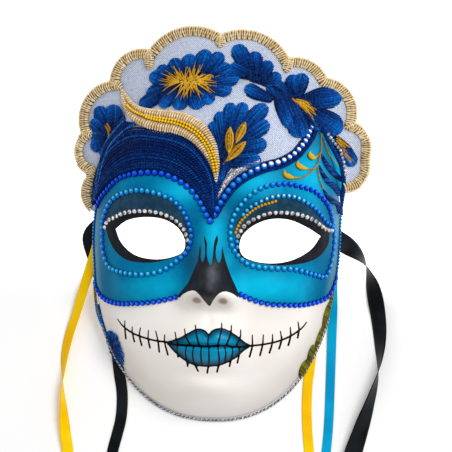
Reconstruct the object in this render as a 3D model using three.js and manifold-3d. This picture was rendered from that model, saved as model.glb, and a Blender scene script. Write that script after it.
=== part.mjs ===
// A painted and embroidered skull-lady mask with a scalloped headdress, in millimetres.
// It lies on its back: +Z points out of the face, +Y to the top of the headdress, and +X to the
// right as one looks at the face. "Left" and "right" in the names are as seen from the front.
import * as THREE from "three";
import { mergeVertices } from "three/addons/utils/BufferGeometryUtils.js";
import Module from "manifold-3d";

// Driving dimensions
const FACE_HALF_WIDTH = 77; // from the middle of the face to the rim at the temple
const CHIN_LENGTH = 122; // from the eye line down to the rim under the chin
const FOREHEAD_LENGTH = 90; // from the eye line up to the rim behind the headdress
const FACE_DEPTH = 57; // height of the plain face dome over the table
const OUTLINE_POWER = 2.3; // how square the outline of the face is
const SHELL_WALL = 3; // papier-mache
const SIDE_LIFT = 11; // how far the rim rises from the table beside the jaw
const SEAT_RISE = 25.5; // how far the headdress bows up between its two sides
const BOARD_THICKNESS = 2.6;
const CLOTH_THICKNESS = 0.7;
const GAP = 0.3; // glue line between pieces
const STRIP_GAP = 0.45; // the same under a narrow strip that bridges the facets
const CLOTH_TOP = GAP + CLOTH_THICKNESS; // over the face or the board
const ON_CLOTH = CLOTH_TOP + GAP;
const BRAID_WIDTH = 6.4;
const BRAID_HEIGHT = 2.4;
const CABOCHON = 4; // large round beads
const SMALL_BEAD = 3;
const SEED_BEAD = 2.2;
const APPLIQUE_HEIGHT = 1.5;
const YARN_HEIGHT = 2;
const CRESCENT_HEIGHT = 4;
const RIBBON_THICKNESS = 0.4;
const RIBBON_STEP = 8;
const SOLID_BOTTOM = -40; // the under side of every cutting solid, below the table
const SOLID_TOP = 160;

// Grid lines that all the surfaces share, finer over the nose and the lips
const GRID_X = gridLines([-97, -88.5, -78, -28, 28, 78, 88.5, 97], [1, 2, 6, 12, 6, 2, 1]);
const GRID_Y = gridLines([-126, -100, -62, -36, 0, 126], [4, 9, 6, 4, 11]);
const COARSE_X = gridLines([-97, -88.5, 88.5, 97], [1, 16, 1]);
const COARSE_Y = gridLines([-126, 126], [20]);

// The scallops of the headdress: the points between them, from the left ear over the top to the
// right ear, and how far each scallop bulges past the straight line between its two points
const SCALLOP_POINTS = [
  [-76.4, 3.5], [-80.5, 28.2], [-86.7, 54], [-68.8, 87.2], [-44.3, 107.2], [0.1, 118.2],
  [42, 105], [65.4, 93.8], [83.9, 66.5], [93.6, 44.6], [78.9, 22],
];
const SCALLOP_BULGES = [6.1, 9.4, 7.7, 7.4, 9.9, 8.8, 4.5, 7.4, 4, 5.6];

// Curves on the face, as seen from the front
const LEFT_EYE = [
  [-61, -5.2], [-53.8, 0.2], [-41.7, 2.7], [-29.7, 1.5], [-21.2, -3.4], [-16.8, -10.8], [-17.3, -17.3],
  [-24.7, -21.4], [-35.9, -23.1], [-48.1, -20.7], [-57.1, -13.4], [-61, -5.2],
];
const RIGHT_EYE = [
  [66.4, -5.3], [58.1, -0.2], [47, 4.1], [35.3, 4], [24.9, -0.5], [18.4, -7.2], [17.3, -14.3],
  [19.7, -19.2], [27.5, -22.3], [38.6, -23], [50.1, -20.5], [60.8, -13.7], [66.4, -5.3],
];
const BROW_LEFT = [[-74, 8.5], [-68, 18.5], [-55.5, 28], [-42.5, 30], [-26, 28], [-11, 17.5], [-1, 2]];
const BROW_RIGHT = [[-1, 2], [7, 16.5], [17, 28.5], [31.5, 36.5], [44.5, 42], [52.5, 50], [57.5, 61]];
const LEFT_RING = [
  [-69.7, -5], [-65, 10.5], [-54.5, 17.5], [-39.5, 18.5], [-23.5, 13], [-13.5, -0.5], [-12, -9],
  [-14.5, -17.5], [-28, -29], [-44, -33], [-59.5, -31], [-67.5, -22.5],
];
const RIGHT_RING = [
  [11, -6.5], [14, 7], [24, 19], [38.5, 25.5], [54, 24.5], [65.5, 19], [72, 5.5], [73.5, -8],
  [72.5, -21.5], [69, -30.5], [58, -28], [44, -26.5], [29, -26], [16, -19],
];
const RIGHT_ARC = [[18, 5], [30, 15], [43.5, 18.5], [56, 15.5], [65.5, 8]];
const LEFT_CRYSTALS = [[-66.3, -3], [-61.5, 2], [-49.5, 6], [-35, 6], [-23, 1.5], [-15.7, -9]];
const RIGHT_CRYSTALS = [[16, -7], [23.5, 2.5], [36.5, 8], [51, 8], [62, 4.5], [70.5, -1.5]];
const LEFT_CHEEK = [[-72, -44.5], [-67.5, -49], [-55.5, -51.5], [-42, -50.5], [-21, -46]];
const RIGHT_CHEEK = [[19, -43], [32, -47.5], [46, -48.5], [62.5, -47], [71, -43]];
const LEFT_TRIM = [[-75, 2], [-76, -16], [-75, -28], [-73.5, -38]];
const RIGHT_TRIM = [[77, 14], [76.5, 2], [76.5, -16], [75.5, -32]];
const TEMPLE_CRYSTALS = [[66.5, 60], [73, 51], [76, 43], [77, 34.5]];
const TEMPLE_CORD = [[65, 57], [70, 49], [73, 41], [73.8, 32]];
const GOLD_STEM = [[62.5, 54], [63, 42], [55.5, 32], [45.5, 30.3]];
const GOLD_DROPS = [
  [[63, 45], [60, 43.5], [58, 46.5]],
  [[60, 36.5], [54, 36.5], [51, 40]],
  [[50, 30.5], [45, 31.5], [43, 34.5]],
];
const TEMPLE_STRIPES = [
  [[66, 43], [69, 38], [71.5, 35]],
  [[65, 34.5], [69.5, 29], [76, 23.5]],
  [[67.5, 22.5], [73, 16]],
];

// The left forehead, its padded crescent and the appliques round them
const HAIR_OUTLINE = [
  [-56, 58.5], [-64, 51.5], [-70, 43.5], [-73.5, 33], [-74, 19], [-74.8, 12.5], [-69, 22], [-56, 31],
  [-42.5, 33], [-25, 31], [-9, 20], [-1, 7], [0, 24], [-4.5, 33], [-9.5, 40.5], [-16, 46.5],
  [-25, 51.5], [-35, 53.5], [-46, 55.5],
];
const CRESCENT_TOP = [[-60.5, 81], [-56, 75.5], [-50, 70.5], [-41, 67.5], [-30, 67], [-19, 64.5],
  [-9, 58.5], [-3, 50.5], [0.7, 41.5], [2, 33], [1.8, 27]];
const CRESCENT_LOWER = [[-61.5, 79.5], [-58.5, 70.5], [-53, 63.5], [-44.5, 59], [-34, 57], [-24, 55],
  [-14.5, 49.5], [-7.5, 42.5], [-2.8, 35], [-0.2, 30], [1, 26.2]];
const FLOWERS = {
  flower_top_left: [
    [-48.5, 72.5], [-43.5, 82.5], [-42.5, 88.5], [-44, 93.5], [-37, 98], [-31.5, 102.5], [-22.5, 100.5],
    [-19, 105], [-14, 104], [-8, 107.5], [-4, 105.5], [2, 104.5], [7, 97.5], [12, 93], [12.5, 87.5],
    [8.5, 81.5], [2, 78.5], [-1.5, 75.5], [-9, 70.5], [-18.5, 72.5], [-23.5, 70], [-31, 73], [-35, 70.5],
    [-43, 71],
  ],
  flower_top_middle: [
    [6, 105.5], [9, 110.5], [15.5, 107], [23.5, 107], [26.5, 102.5], [30, 103.5], [32.5, 101],
    [31, 98], [30.5, 95.5], [33, 93.5], [29, 91.5], [21, 95], [14.5, 95],
  ],
  flower_top_right: [
    [41, 91.5], [44.5, 95], [50, 96], [55.5, 90.5], [60.5, 87], [67, 84], [71, 80], [67, 76],
    [71.5, 71.5], [74.5, 67], [73.5, 61.5], [64.5, 63], [59, 65.5], [51.5, 57.5], [45, 60], [39.5, 72],
    [34.5, 80], [30, 86], [34, 90.5],
  ],
  leaf_small: [[16, 84.5], [25, 86.5], [31, 79], [29, 77.5], [22.5, 79]],
  leaf_middle: [
    [-3, 64], [1, 69.5], [6.5, 74], [12.5, 73.5], [17, 75.5], [22.5, 75], [30.5, 73], [27, 65],
    [32.5, 62], [29, 53.5], [31.5, 51], [27, 44], [29.5, 41.5], [17, 36.5], [8.5, 31], [4, 26.5],
    [5.5, 37], [4, 47], [-0.5, 56.5],
  ],
  flower_left: [
    [-78, 71], [-71.5, 71.5], [-66.5, 72.5], [-63, 69], [-57.5, 61], [-65.5, 53], [-71.5, 45],
    [-75, 42.5], [-79.4, 50.2], [-79.2, 60], [-76.5, 64.5],
  ],
  leaf_right: [[71.5, 58], [77.5, 57.5], [82, 51.5], [84, 45], [83.5, 40.5], [79.5, 43], [78.2, 46]],
};

// The trims of the jaw
const ROSETTE = [[-64.5, -69.5], [-61, -70], [-57.5, -76], [-55.5, -83.5], [-54.5, -89], [-59, -85.5],
  [-62.3, -79], [-64.5, -73.5]];
const LEFT_JAW_CORD = [[-71.8, -49.5], [-70, -57], [-67, -66]];
const OLIVE_OUTER = [[74, -43], [72.3, -50], [69, -62], [63.5, -75.5], [60, -83], [53, -92.5]];
const OLIVE_INNER = [[72.7, -43], [70.3, -50], [66.5, -62], [60.5, -75], [55.5, -82], [51.5, -91]];

// Each ribbon is glued under the rim of the face, comes out from under it and lies on the table.
// Its route along the middle gives x, y, z and how far it is turned on edge, in degrees.
const RIBBONS = {
  ribbon_black_left: {
    width: 7, colour: 0x15171a,
    route: [[-72.5, -0.5, 13.1, 22], [-75.6, -3.2, 11, 12], [-79, -6.8, 9, 0], [-80.8, -11, 7.8, 0],
      [-80.2, -15.8, 7, 0], [-77, -25, 5.4, 0], [-72, -40, 3, 0], [-66, -58, 1.4, 0], [-61.6, -76, 0.5, 0],
      [-60, -87.5, 0.5, 0], [-58.5, -97, 0.5, 0], [-56.7, -106.4, 0.5, 0], [-56.2, -115.8, 0.5, 0],
      [-56.8, -125.2, 0.5, 0], [-58.8, -134.7, 0.5, 0], [-61.3, -146, 0.5, 0], [-62, -166, 0.5, 0],
      [-56, -186, 0.5, 0], [-46, -200, 0.5, 0]],
  },
  ribbon_black_right: {
    width: 12, colour: 0x15171a,
    route: [[71.5, -5.4, 13.4, -14], [74.5, -6.3, 11.5, -14], [77.5, -8, 9.7, -15], [82.5, -11, 8.2, -25],
      [88.8, -15.8, 7.3, -55], [93.5, -21.3, 6.9, -85], [96.3, -27.5, 6.7, -108], [98.7, -35, 6.3, -134],
      [100.9, -44.2, 5.3, -146], [102.8, -53.5, 4.9, -142], [104.1, -62.8, 4.9, -136],
      [104.7, -72.2, 5.4, -125], [104.7, -81.5, 6.1, -108], [103.8, -90.9, 6.3, -87],
      [101.8, -100, 6.2, -72], [99.1, -109.8, 5.7, -60], [96.3, -119.3, 4.9, -46], [93.5, -128.9, 4, -36],
      [90.7, -138.4, 3, -25], [86.6, -156, 1.5, -9], [84, -172.8, 0.6, 0], [86, -194.6, 0.5, 0]],
  },
  ribbon_yellow_left: {
    width: 7.2, colour: 0xf2b705,
    route: [[-73, -9, 12.8, 28], [-74.9, -17, 11, 28], [-77.7, -26.8, 9.2, 28], [-81.9, -41.4, 7.5, 33],
      [-84.5, -50.9, 6.4, 36], [-87.1, -60.4, 5.2, 40], [-90, -69.9, 4.2, 40], [-92.3, -79.4, 3.4, 42],
      [-93.6, -88.9, 3.5, 53], [-93.9, -98.3, 3.8, 75], [-94, -107.7, 4, 100], [-93.2, -117, 3.6, 118],
      [-92.3, -126.4, 3, 140], [-91.2, -135.9, 1.9, 158], [-89.6, -146.2, 1, 172], [-89, -166, 0.5, 180],
      [-94, -184, 0.5, 180]],
  },
  ribbon_yellow_right: {
    width: 6.2, colour: 0xf2b705,
    route: [[70, -46, 10.7, -12], [67, -56, 8, -8], [63.4, -69, 3.2, 0], [61.8, -80, 0.8, 0],
      [60.8, -90.5, 0.5, 0], [60.1, -98, 0.5, 0], [59.9, -104, 0.5, 0], [59.9, -111.5, 0.5, 0],
      [60.3, -120.8, 0.5, 0], [61.1, -130.2, 0.5, 0], [62.2, -139.5, 0.5, 0], [62.7, -150, 0.5, 0],
      [62, -162, 0.5, 0], [59.8, -173, 0.5, 0], [56, -184, 0.5, 0]],
  },
  ribbon_blue_right: {
    width: 5.8, colour: 0x0a9fd0,
    route: [[73, -14.6, 12.7, -28], [74, -24, 9.8, -20], [73.9, -36.8, 6.5, -10], [74.3, -51.2, 3, 0],
      [74.2, -64, 1.4, 0], [74.2, -75, 0.8, 0], [74.2, -87.3, 0.6, 0], [74.2, -96, 0.5, 0],
      [74.2, -105.6, 0.5, 0], [74.2, -113, 0.5, 0], [74.1, -120.6, 0.5, 0], [73.8, -129.7, 0.5, 0],
      [73.2, -139.1, 0.5, 0], [72.3, -150, 0.5, 0], [71.6, -162, 0.5, 0], [69, -182, 0.5, 0]],
  },
};

const wasm = await Module();
wasm.setup();

// Evenly spaced lines between each two neighbouring marks
function gridLines(marks, counts) {
  const lines = [marks[0]];
  counts.forEach((count, i) => {
    for (let k = 1; k <= count; k++) lines.push(THREE.MathUtils.lerp(marks[i], marks[i + 1], k / count));
  });
  return lines;
}

// Soft step from 0 at the first mark to 1 at the second
function ease(value, from, to) {
  return THREE.MathUtils.smoothstep(value, from, to);
}

// A round hill of height 1
function hill(x, y, middleX, middleY, spreadX, spreadY) {
  return Math.exp(-(((x - middleX) / spreadX) ** 2) - ((y - middleY) / spreadY) ** 2);
}

// The surface that the rim of the face and the headdress share
function seat(x, y) {
  const jaw = SIDE_LIFT * ease(y, -112, -60);
  const bow = SEAT_RISE * (1 - (x / FACE_HALF_WIDTH) ** 2) * ease(y, -60, -15);
  const height = jaw + bow - 5 * ease(y, 80, 130);
  return y > -15 ? Math.max(height, BOARD_THICKNESS + GAP) : height;
}

// 0 in the middle of the face and 1 on its outline
function reach(x, y) {
  const length = y < 0 ? CHIN_LENGTH : FOREHEAD_LENGTH;
  const sum = Math.abs(x / FACE_HALF_WIDTH) ** OUTLINE_POWER + Math.abs(y / length) ** OUTLINE_POWER;
  return sum ** (1 / OUTLINE_POWER);
}

// The lips: two rolls with sharp outlines that meet in a crease
function lips(x, y) {
  const taper = Math.max(0, 1 - (x / 26.5) ** 2);
  const above = y - (-75.6 + 1.2 * (1 - taper));
  const bow = 3.9 * Math.exp(-((x / 3) ** 2)) * Math.min(1, 3 * taper);
  const edge = above > 0 ? 11.5 * taper ** 1.2 - bow : 12.2 * taper ** 1.2;
  const across = Math.abs(above) / Math.max(edge, 0.001);
  const roll = (above > 0 ? 3.4 : 4.6) * taper ** 0.8 * Math.max(0, 1 - across ** 2.4);
  return roll - 4.2 * taper ** 0.6 * Math.exp(-((above / 1.5) ** 2));
}

// Everything that stands out of the plain dome or sinks into it, without the lips
function features(x, y) {
  const side = Math.abs(x);
  const down = THREE.MathUtils.clamp((14 - y) / 54, 0, 1);
  const ridge = (2 + 24 * down ** 1.5) * Math.exp(-((side / (8 + 4 * down)) ** 2.2));
  const nose = ridge * ease(y, -55, -41) * (1 - ease(y, 0, 30)) + 3 * hill(x, y, 0, -40, 9.5, 7);
  const wings = 8 * hill(side, y, 12.5, -45.5, 5.5, 6) - 2.6 * hill(side, y, 7.6, -47.6, 3.4, 2.2);
  const eyes = 3 * hill(side, y, 34, 17, 20, 9) - 8 * hill(side, y, 36, -9, 20, 14);
  const cheeks = 5.5 * hill(side, y, 44, -38, 20, 15);
  const mouth = 7 * hill(x, y, 0, -74, 27, 19) - 1.2 * hill(x, y, 0, -60, 2.6, 6);
  const corners = -1.2 * hill(side, y, 29, -76, 5, 5);
  const chin = 15 * hill(x, y, 0, -109, 24, 13) - 3 * hill(x, y, 0, -95, 17, 5.5);
  return nose + wings + eyes + cheeks + mouth + corners + chin;
}

// Height of the face, which runs on as the seat outside the outline of the face
function faceHeight(x, y, details = features(x, y) + lips(x, y)) {
  const out = Math.min(reach(x, y), 1);
  const base = seat(x, y);
  const top = FACE_DEPTH - 3 * ease(-y, 0, 60);
  const dome = base + (top - base) * (1 - out ** 2.6) ** (1 / 1.5);
  return dome + details * (1 - ease(out, 0.75, 0.98));
}

// The inner side of the face has no lips
function smoothFace(x, y) {
  return faceHeight(x, y, features(x, y));
}

// A height function moved out of its own surface by a distance, more where the surface is steep
function lifted(height, distance) {
  const reachOfSlope = 0.5;
  return (x, y) => {
    const slopeX = (height(x + reachOfSlope, y) - height(x - reachOfSlope, y)) / (2 * reachOfSlope);
    const slopeY = (height(x, y + reachOfSlope) - height(x, y - reachOfSlope)) / (2 * reachOfSlope);
    return height(x, y) + distance * Math.min(Math.hypot(1, slopeX, slopeY), 3);
  };
}

// Height of the faceted surface that a height function makes on the shared grid
function facetHeight(height, x, y) {
  const column = THREE.MathUtils.clamp(GRID_X.findIndex((line) => line > x) - 1, 0, GRID_X.length - 2);
  const row = THREE.MathUtils.clamp(GRID_Y.findIndex((line) => line > y) - 1, 0, GRID_Y.length - 2);
  const corner = (i, j) => height(GRID_X[column + i], GRID_Y[row + j]);
  const u = (x - GRID_X[column]) / (GRID_X[column + 1] - GRID_X[column]);
  const v = (y - GRID_Y[row]) / (GRID_Y[row + 1] - GRID_Y[row]);
  const near = corner(0, 0);
  const far = corner(1, 1);
  return u > v
    ? near * (1 - u) + corner(1, 0) * (u - v) + far * v
    : near * (1 - v) + corner(0, 1) * (v - u) + far * u;
}

function solidFrom(geometry) {
  const bare = geometry.clone();
  bare.deleteAttribute("normal");
  bare.deleteAttribute("uv");
  const merged = mergeVertices(bare, 1e-4);
  const vertProperties = merged.getAttribute("position").array;
  const triVerts = new Uint32Array(merged.index.array);
  return new wasm.Manifold(new wasm.Mesh({ numProp: 3, vertProperties, triVerts }));
}

function geometryFrom(solid) {
  const { vertProperties, triVerts } = solid.getMesh();
  const geometry = new THREE.BufferGeometry();
  geometry.setAttribute("position", new THREE.BufferAttribute(vertProperties, 3));
  geometry.setIndex(new THREE.BufferAttribute(triVerts, 1));
  geometry.computeVertexNormals();
  return geometry;
}

function indexedGeometry(positions, indices) {
  const geometry = new THREE.BufferGeometry();
  geometry.setAttribute("position", new THREE.Float32BufferAttribute(positions, 3));
  geometry.setIndex(indices);
  geometry.computeVertexNormals();
  return geometry;
}

// Everything under a height function, down to well below the table
function ground(height, xs = GRID_X, ys = GRID_Y) {
  const positions = [];
  for (const level of [height, () => SOLID_BOTTOM]) {
    for (const y of ys) for (const x of xs) positions.push(x, y, level(x, y));
  }
  const layer = xs.length * ys.length;
  const at = (i, j) => j * xs.length + i;
  const indices = [];
  for (let j = 0; j + 1 < ys.length; j++) {
    for (let i = 0; i + 1 < xs.length; i++) {
      const [a, b, c, d] = [at(i, j), at(i + 1, j), at(i + 1, j + 1), at(i, j + 1)];
      indices.push(a, b, c, a, c, d);
      indices.push(layer + a, layer + c, layer + b, layer + a, layer + d, layer + c);
    }
  }
  const edge = [];
  for (let i = 0; i + 1 < xs.length; i++) edge.push(at(i, 0));
  for (let j = 0; j + 1 < ys.length; j++) edge.push(at(xs.length - 1, j));
  for (let i = xs.length - 1; i > 0; i--) edge.push(at(i, ys.length - 1));
  for (let j = ys.length - 1; j > 0; j--) edge.push(at(0, j));
  edge.forEach((a, k) => {
    const b = edge[(k + 1) % edge.length];
    indices.push(layer + a, layer + b, b, layer + a, b, a);
  });
  return solidFrom(indexedGeometry(positions, indices));
}

// An upright prism through the whole height
function prism(outline) {
  const shape = new THREE.Shape(outline.map(([x, y]) => new THREE.Vector2(x, y)));
  const depth = SOLID_TOP - SOLID_BOTTOM;
  const geometry = new THREE.ExtrudeGeometry(shape, { depth, bevelEnabled: false });
  return solidFrom(geometry.translate(0, 0, SOLID_BOTTOM));
}

// Points along a smooth curve through the given points
function along(points, count, closed = false) {
  const path = points.map(([x, y, z = 0]) => new THREE.Vector3(x, y, z));
  const curve = new THREE.CatmullRomCurve3(path, closed, "centripetal");
  const found = curve.getSpacedPoints(count).map((p) => [p.x, p.y, p.z]);
  return closed ? found.slice(0, -1) : found;
}

function lengthOf(points) {
  return points.slice(1).reduce((sum, [x, y], i) => sum + Math.hypot(x - points[i][0], y - points[i][1]), 0);
}

// Each point of a path moved to the left of its direction, with mitred corners
function offset(points, distance, closed = false) {
  const count = points.length;
  return points.map(([x, y], i) => {
    const before = closed ? points[(i + count - 1) % count] : points[Math.max(i - 1, 0)];
    const after = closed ? points[(i + 1) % count] : points[Math.min(i + 1, count - 1)];
    const into = new THREE.Vector2(x - before[0], y - before[1]).normalize();
    const out = new THREE.Vector2(after[0] - x, after[1] - y).normalize();
    const way = into.clone().add(out).normalize();
    const turn = Math.max(0.6, into.lengthSq() && out.lengthSq() ? way.dot(into) : 1);
    return [x - (way.y * distance) / turn, y + (way.x * distance) / turn];
  });
}

// One closed body through a row of rings with equal numbers of points
function sweep(rings, closed) {
  const size = rings[0].length;
  const indices = [];
  const steps = closed ? rings.length : rings.length - 1;
  for (let s = 0; s < steps; s++) {
    const here = s * size;
    const next = ((s + 1) % rings.length) * size;
    for (let k = 0; k < size; k++) {
      const l = (k + 1) % size;
      indices.push(here + k, next + k, next + l, here + k, next + l, here + l);
    }
  }
  if (!closed) {
    const last = (rings.length - 1) * size;
    for (let k = 1; k + 1 < size; k++) indices.push(0, k, k + 1, last, last + k + 1, last + k);
  }
  return indexedGeometry(rings.flat(2), indices);
}

// A strip between two edges that lies on a height function. The profile gives, from the right
// edge to the left, how far across each upper point is and how high it stands.
function raised(leftEdge, rightEdge, profile, height, gap = STRIP_GAP, closed = false) {
  const rings = leftEdge.map((left, i) => {
    const right = rightEdge[i];
    const point = (across, rise) => {
      const x = THREE.MathUtils.lerp(right[0], left[0], across);
      const y = THREE.MathUtils.lerp(right[1], left[1], across);
      return [x, y, facetHeight(height, x, y) + gap + rise];
    };
    return [point(1, 0), point(0, 0), ...profile.map(([across, rise]) => point(across, rise))];
  });
  return sweep(rings, closed);
}

// The part of a strip that stands clear of the face
const FACE_SKIN = ground(lifted(faceHeight, GAP / 2));
function clearOfFace(geometry) {
  return geometryFrom(solidFrom(geometry).subtract(FACE_SKIN));
}

// A row of beads, or a cord, as one low strip
function strand(points, width, rise, { step = 6.5, closed = false } = {}) {
  const count = Math.max(3, Math.round(lengthOf(closed ? [...points, points[0]] : points) / step));
  const middle = along(points, count, closed);
  const left = offset(middle, width / 2, closed);
  const right = offset(middle, -width / 2, closed);
  const profile = [[0.2, rise], [0.8, rise]];
  return clearOfFace(raised(left, right, profile, faceHeight, STRIP_GAP, closed));
}

// A flat ribbon along a route whose points give x, y, z and the turn about its own length
function ribbon({ route, width }) {
  const curve = new THREE.CatmullRomCurve3(
    route.map(([x, y, z]) => new THREE.Vector3(x, y, z)), false, "centripetal");
  const count = Math.round(curve.getLength() / RIBBON_STEP);
  const up = new THREE.Vector3(0, 0, 1);
  const rings = [];
  for (let s = 0; s <= count; s++) {
    const t = curve.getUtoTmapping(s / count);
    const middle = curve.getPoint(t);
    const ahead = curve.getTangent(t);
    const place = Math.min(t * (route.length - 1), route.length - 1.001);
    const turn = THREE.MathUtils.degToRad(
      THREE.MathUtils.lerp(route[Math.floor(place)][3], route[Math.floor(place) + 1][3], place % 1));
    const left = up.clone().cross(ahead).normalize();
    const face = ahead.clone().cross(left);
    const side = left.clone().multiplyScalar(Math.cos(turn)).addScaledVector(face, Math.sin(turn));
    const normal = face.multiplyScalar(Math.cos(turn)).addScaledVector(left, -Math.sin(turn));
    const corners = [[1, -1], [-1, -1], [-1, 1], [1, 1]];
    rings.push(corners.map(([a, b]) => middle.clone()
      .addScaledVector(side, (a * width) / 2)
      .addScaledVector(normal, (b * RIBBON_THICKNESS) / 2).toArray()));
  }
  return sweep(rings, false);
}

// The outline of the face, grown by a distance, between two turns of its curve
function faceOutline(grow, from = 0, to = 2 * Math.PI, steps = 64) {
  const points = [];
  for (let k = 0; k < steps; k++) {
    const angle = THREE.MathUtils.lerp(from, to, k / (to - from < 6 ? steps - 1 : steps));
    const [c, s] = [Math.cos(angle), Math.sin(angle)];
    const length = (s < 0 ? CHIN_LENGTH : FOREHEAD_LENGTH) + grow;
    const bend = (v) => Math.sign(v) * Math.abs(v) ** (2 / OUTLINE_POWER);
    points.push([(FACE_HALF_WIDTH + grow) * bend(c), length * bend(s)]);
  }
  return points;
}

// The scalloped edge as round arcs, from the left end to the right end
function scallops(inset, step = 5) {
  const path = [];
  SCALLOP_BULGES.forEach((bulge, i) => {
    const [from, to] = [SCALLOP_POINTS[i], SCALLOP_POINTS[i + 1]].map(([x, y]) => new THREE.Vector2(x, y));
    const chord = to.clone().sub(from);
    const half = chord.length() / 2;
    const radius = (half ** 2 + bulge ** 2) / (2 * bulge);
    const centre = from.clone().add(to).multiplyScalar(0.5);
    centre.add(new THREE.Vector2(chord.y, -chord.x).setLength(radius - bulge));
    const start = from.clone().sub(centre).angle();
    let sweepAngle = to.clone().sub(centre).angle() - start;
    if (sweepAngle > 0) sweepAngle -= 2 * Math.PI;
    const count = Math.max(3, Math.round((-sweepAngle * radius) / step));
    for (let k = i ? 1 : 0; k <= count; k++) {
      const angle = start + (sweepAngle * k) / count;
      path.push([centre.x + radius * Math.cos(angle), centre.y + radius * Math.sin(angle)]);
    }
  });
  return offset(path, -inset);
}

// The face: a shell with two eye holes, open at the back
function faceShell() {
  const outside = ground(faceHeight).intersect(prism(faceOutline(0)));
  const inside = ground(lifted(smoothFace, -SHELL_WALL), COARSE_X, COARSE_Y);
  const hollow = inside.intersect(prism(faceOutline(-SHELL_WALL)));
  const eyes = [LEFT_EYE, RIGHT_EYE].map((outline) => prism(along(outline, 30).slice(1)));
  const cut = [ground(seat), hollow, ...eyes].reduce((solid, tool) => solid.subtract(tool), outside);
  return geometryFrom(cut);
}

// The stiff board behind the cloth, glued under the rim of the face
function crestBoard() {
  const inner = faceOutline(-7, 0.3, Math.PI - 0.06, 24);
  const outline = prism([...scallops(1.6), ...inner]);
  const top = ground((x, y) => seat(x, y) - GAP, COARSE_X, COARSE_Y);
  const bottom = ground((x, y) => seat(x, y) - GAP - BOARD_THICKNESS, COARSE_X, COARSE_Y);
  return geometryFrom(top.intersect(outline).subtract(bottom));
}

// A flat piece that follows the face between two heights over it
function overlay(outline, from, to) {
  const slab = ground(lifted(faceHeight, to)).intersect(prism(outline));
  return geometryFrom(slab.subtract(ground(lifted(faceHeight, from))));
}

// The woven cloth over the headdress and the forehead, down to the row of beads on the brow
function headdressCloth() {
  const brow = [...along(BROW_LEFT, 14), ...along(BROW_RIGHT, 14).slice(1)];
  const edge = offset(brow, CABOCHON / 2 + GAP);
  const temple = [[61, 64], [66, 63], [71, 58], [75.5, 51.5], [78, 44], [79, 34]];
  const outline = [...scallops(1.2), ...temple.reverse(), ...edge.reverse()];
  return overlay(outline, GAP, CLOTH_TOP);
}

// The ribbed braid on the scalloped edge, whose ends stop at the side of the face
function crestBraid() {
  const middle = scallops(BRAID_WIDTH / 2);
  const left = offset(middle, BRAID_WIDTH / 2);
  const right = offset(middle, -BRAID_WIDTH / 2);
  const profile = [[0.15, BRAID_HEIGHT * 0.8], [0.5, BRAID_HEIGHT], [0.85, BRAID_HEIGHT * 0.8]];
  const whole = raised(left, right, profile, lifted(faceHeight, CLOTH_TOP));
  return geometryFrom(solidFrom(whole).subtract(prism(faceOutline(0.6))));
}

// The padded crescent over the left brow and the row of small beads along its crown
function crescent() {
  const steps = 24;
  const [top, lower] = [along(CRESCENT_TOP, steps), along(CRESCENT_LOWER, steps)];
  const profile = [[0.15, 0.6], [0.4, 1], [0.6, 1], [0.85, 0.6]].map(([a, h]) => [a, h * CRESCENT_HEIGHT]);
  const whole = raised(top, lower, profile, lifted(faceHeight, CLOTH_TOP));
  return geometryFrom(solidFrom(whole).subtract(ground(lifted(faceHeight, CLOTH_TOP + GAP / 2))));
}

function crescentBeads() {
  const steps = 24;
  const [top, lower] = [along(CRESCENT_TOP, steps), along(CRESCENT_LOWER, steps)];
  const between = (share) => top.map(([x, y], i) => [
    THREE.MathUtils.lerp(lower[i][0], x, share), THREE.MathUtils.lerp(lower[i][1], y, share)]).slice(4, -2);
  const rise = CRESCENT_HEIGHT + GAP;
  const edges = [between(0.6), between(0.4)];
  return raised(...edges, [[0.1, SEED_BEAD], [0.9, SEED_BEAD]], lifted(faceHeight, CLOTH_TOP), rise + GAP);
}

// Dark yarn laid in arcs over the left forehead
function hairCords() {
  return overlay(HAIR_OUTLINE, ON_CLOTH, ON_CLOTH + YARN_HEIGHT);
}

// The gold stem on the right temple with its three drops
function goldDrops() {
  const parts = [strand(GOLD_STEM, 1.4, 1), ...GOLD_DROPS.map((drop) => strand(drop, 2.4, 1.2, { step: 3 }))];
  return geometryFrom(parts.map(solidFrom).reduce((whole, part) => whole.add(part)));
}

// The silver cord that hugs the rim of the jaw
function chinCord() {
  const width = 1.8;
  const [from, to] = [Math.PI + 0.56, 2 * Math.PI - 0.5];
  const edge = (grow) => faceOutline(grow, from, to, 40);
  const rings = edge(0.4).map(([x, y], i) => {
    const [outX, outY] = edge(0.4 + width)[i];
    const base = seat(x, y) + GAP;
    return [[x, y, base], [outX, outY, base], [outX, outY, base + 1], [x, y, base + width]];
  });
  return sweep(rings, false);
}

function add(group, name, geometry, colour, roughness = 0.6, metalness = 0) {
  const material = new THREE.MeshStandardMaterial({ color: colour, roughness, metalness });
  const mesh = new THREE.Mesh(geometry, material);
  mesh.name = name;
  group.add(mesh);
}

const mask = new THREE.Group();
mask.name = "mask";
const colours = {
  white: 0xf1ece6, teal: 0x1297c8, royal: 0x1c49c9, navy: 0x10205a, silver: 0xb4b8cf,
  gold: 0xb99a5b, yellow: 0xe0a91d, crystal: 0xe8e8ec, olive: 0x6f6d16,
};

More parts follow.
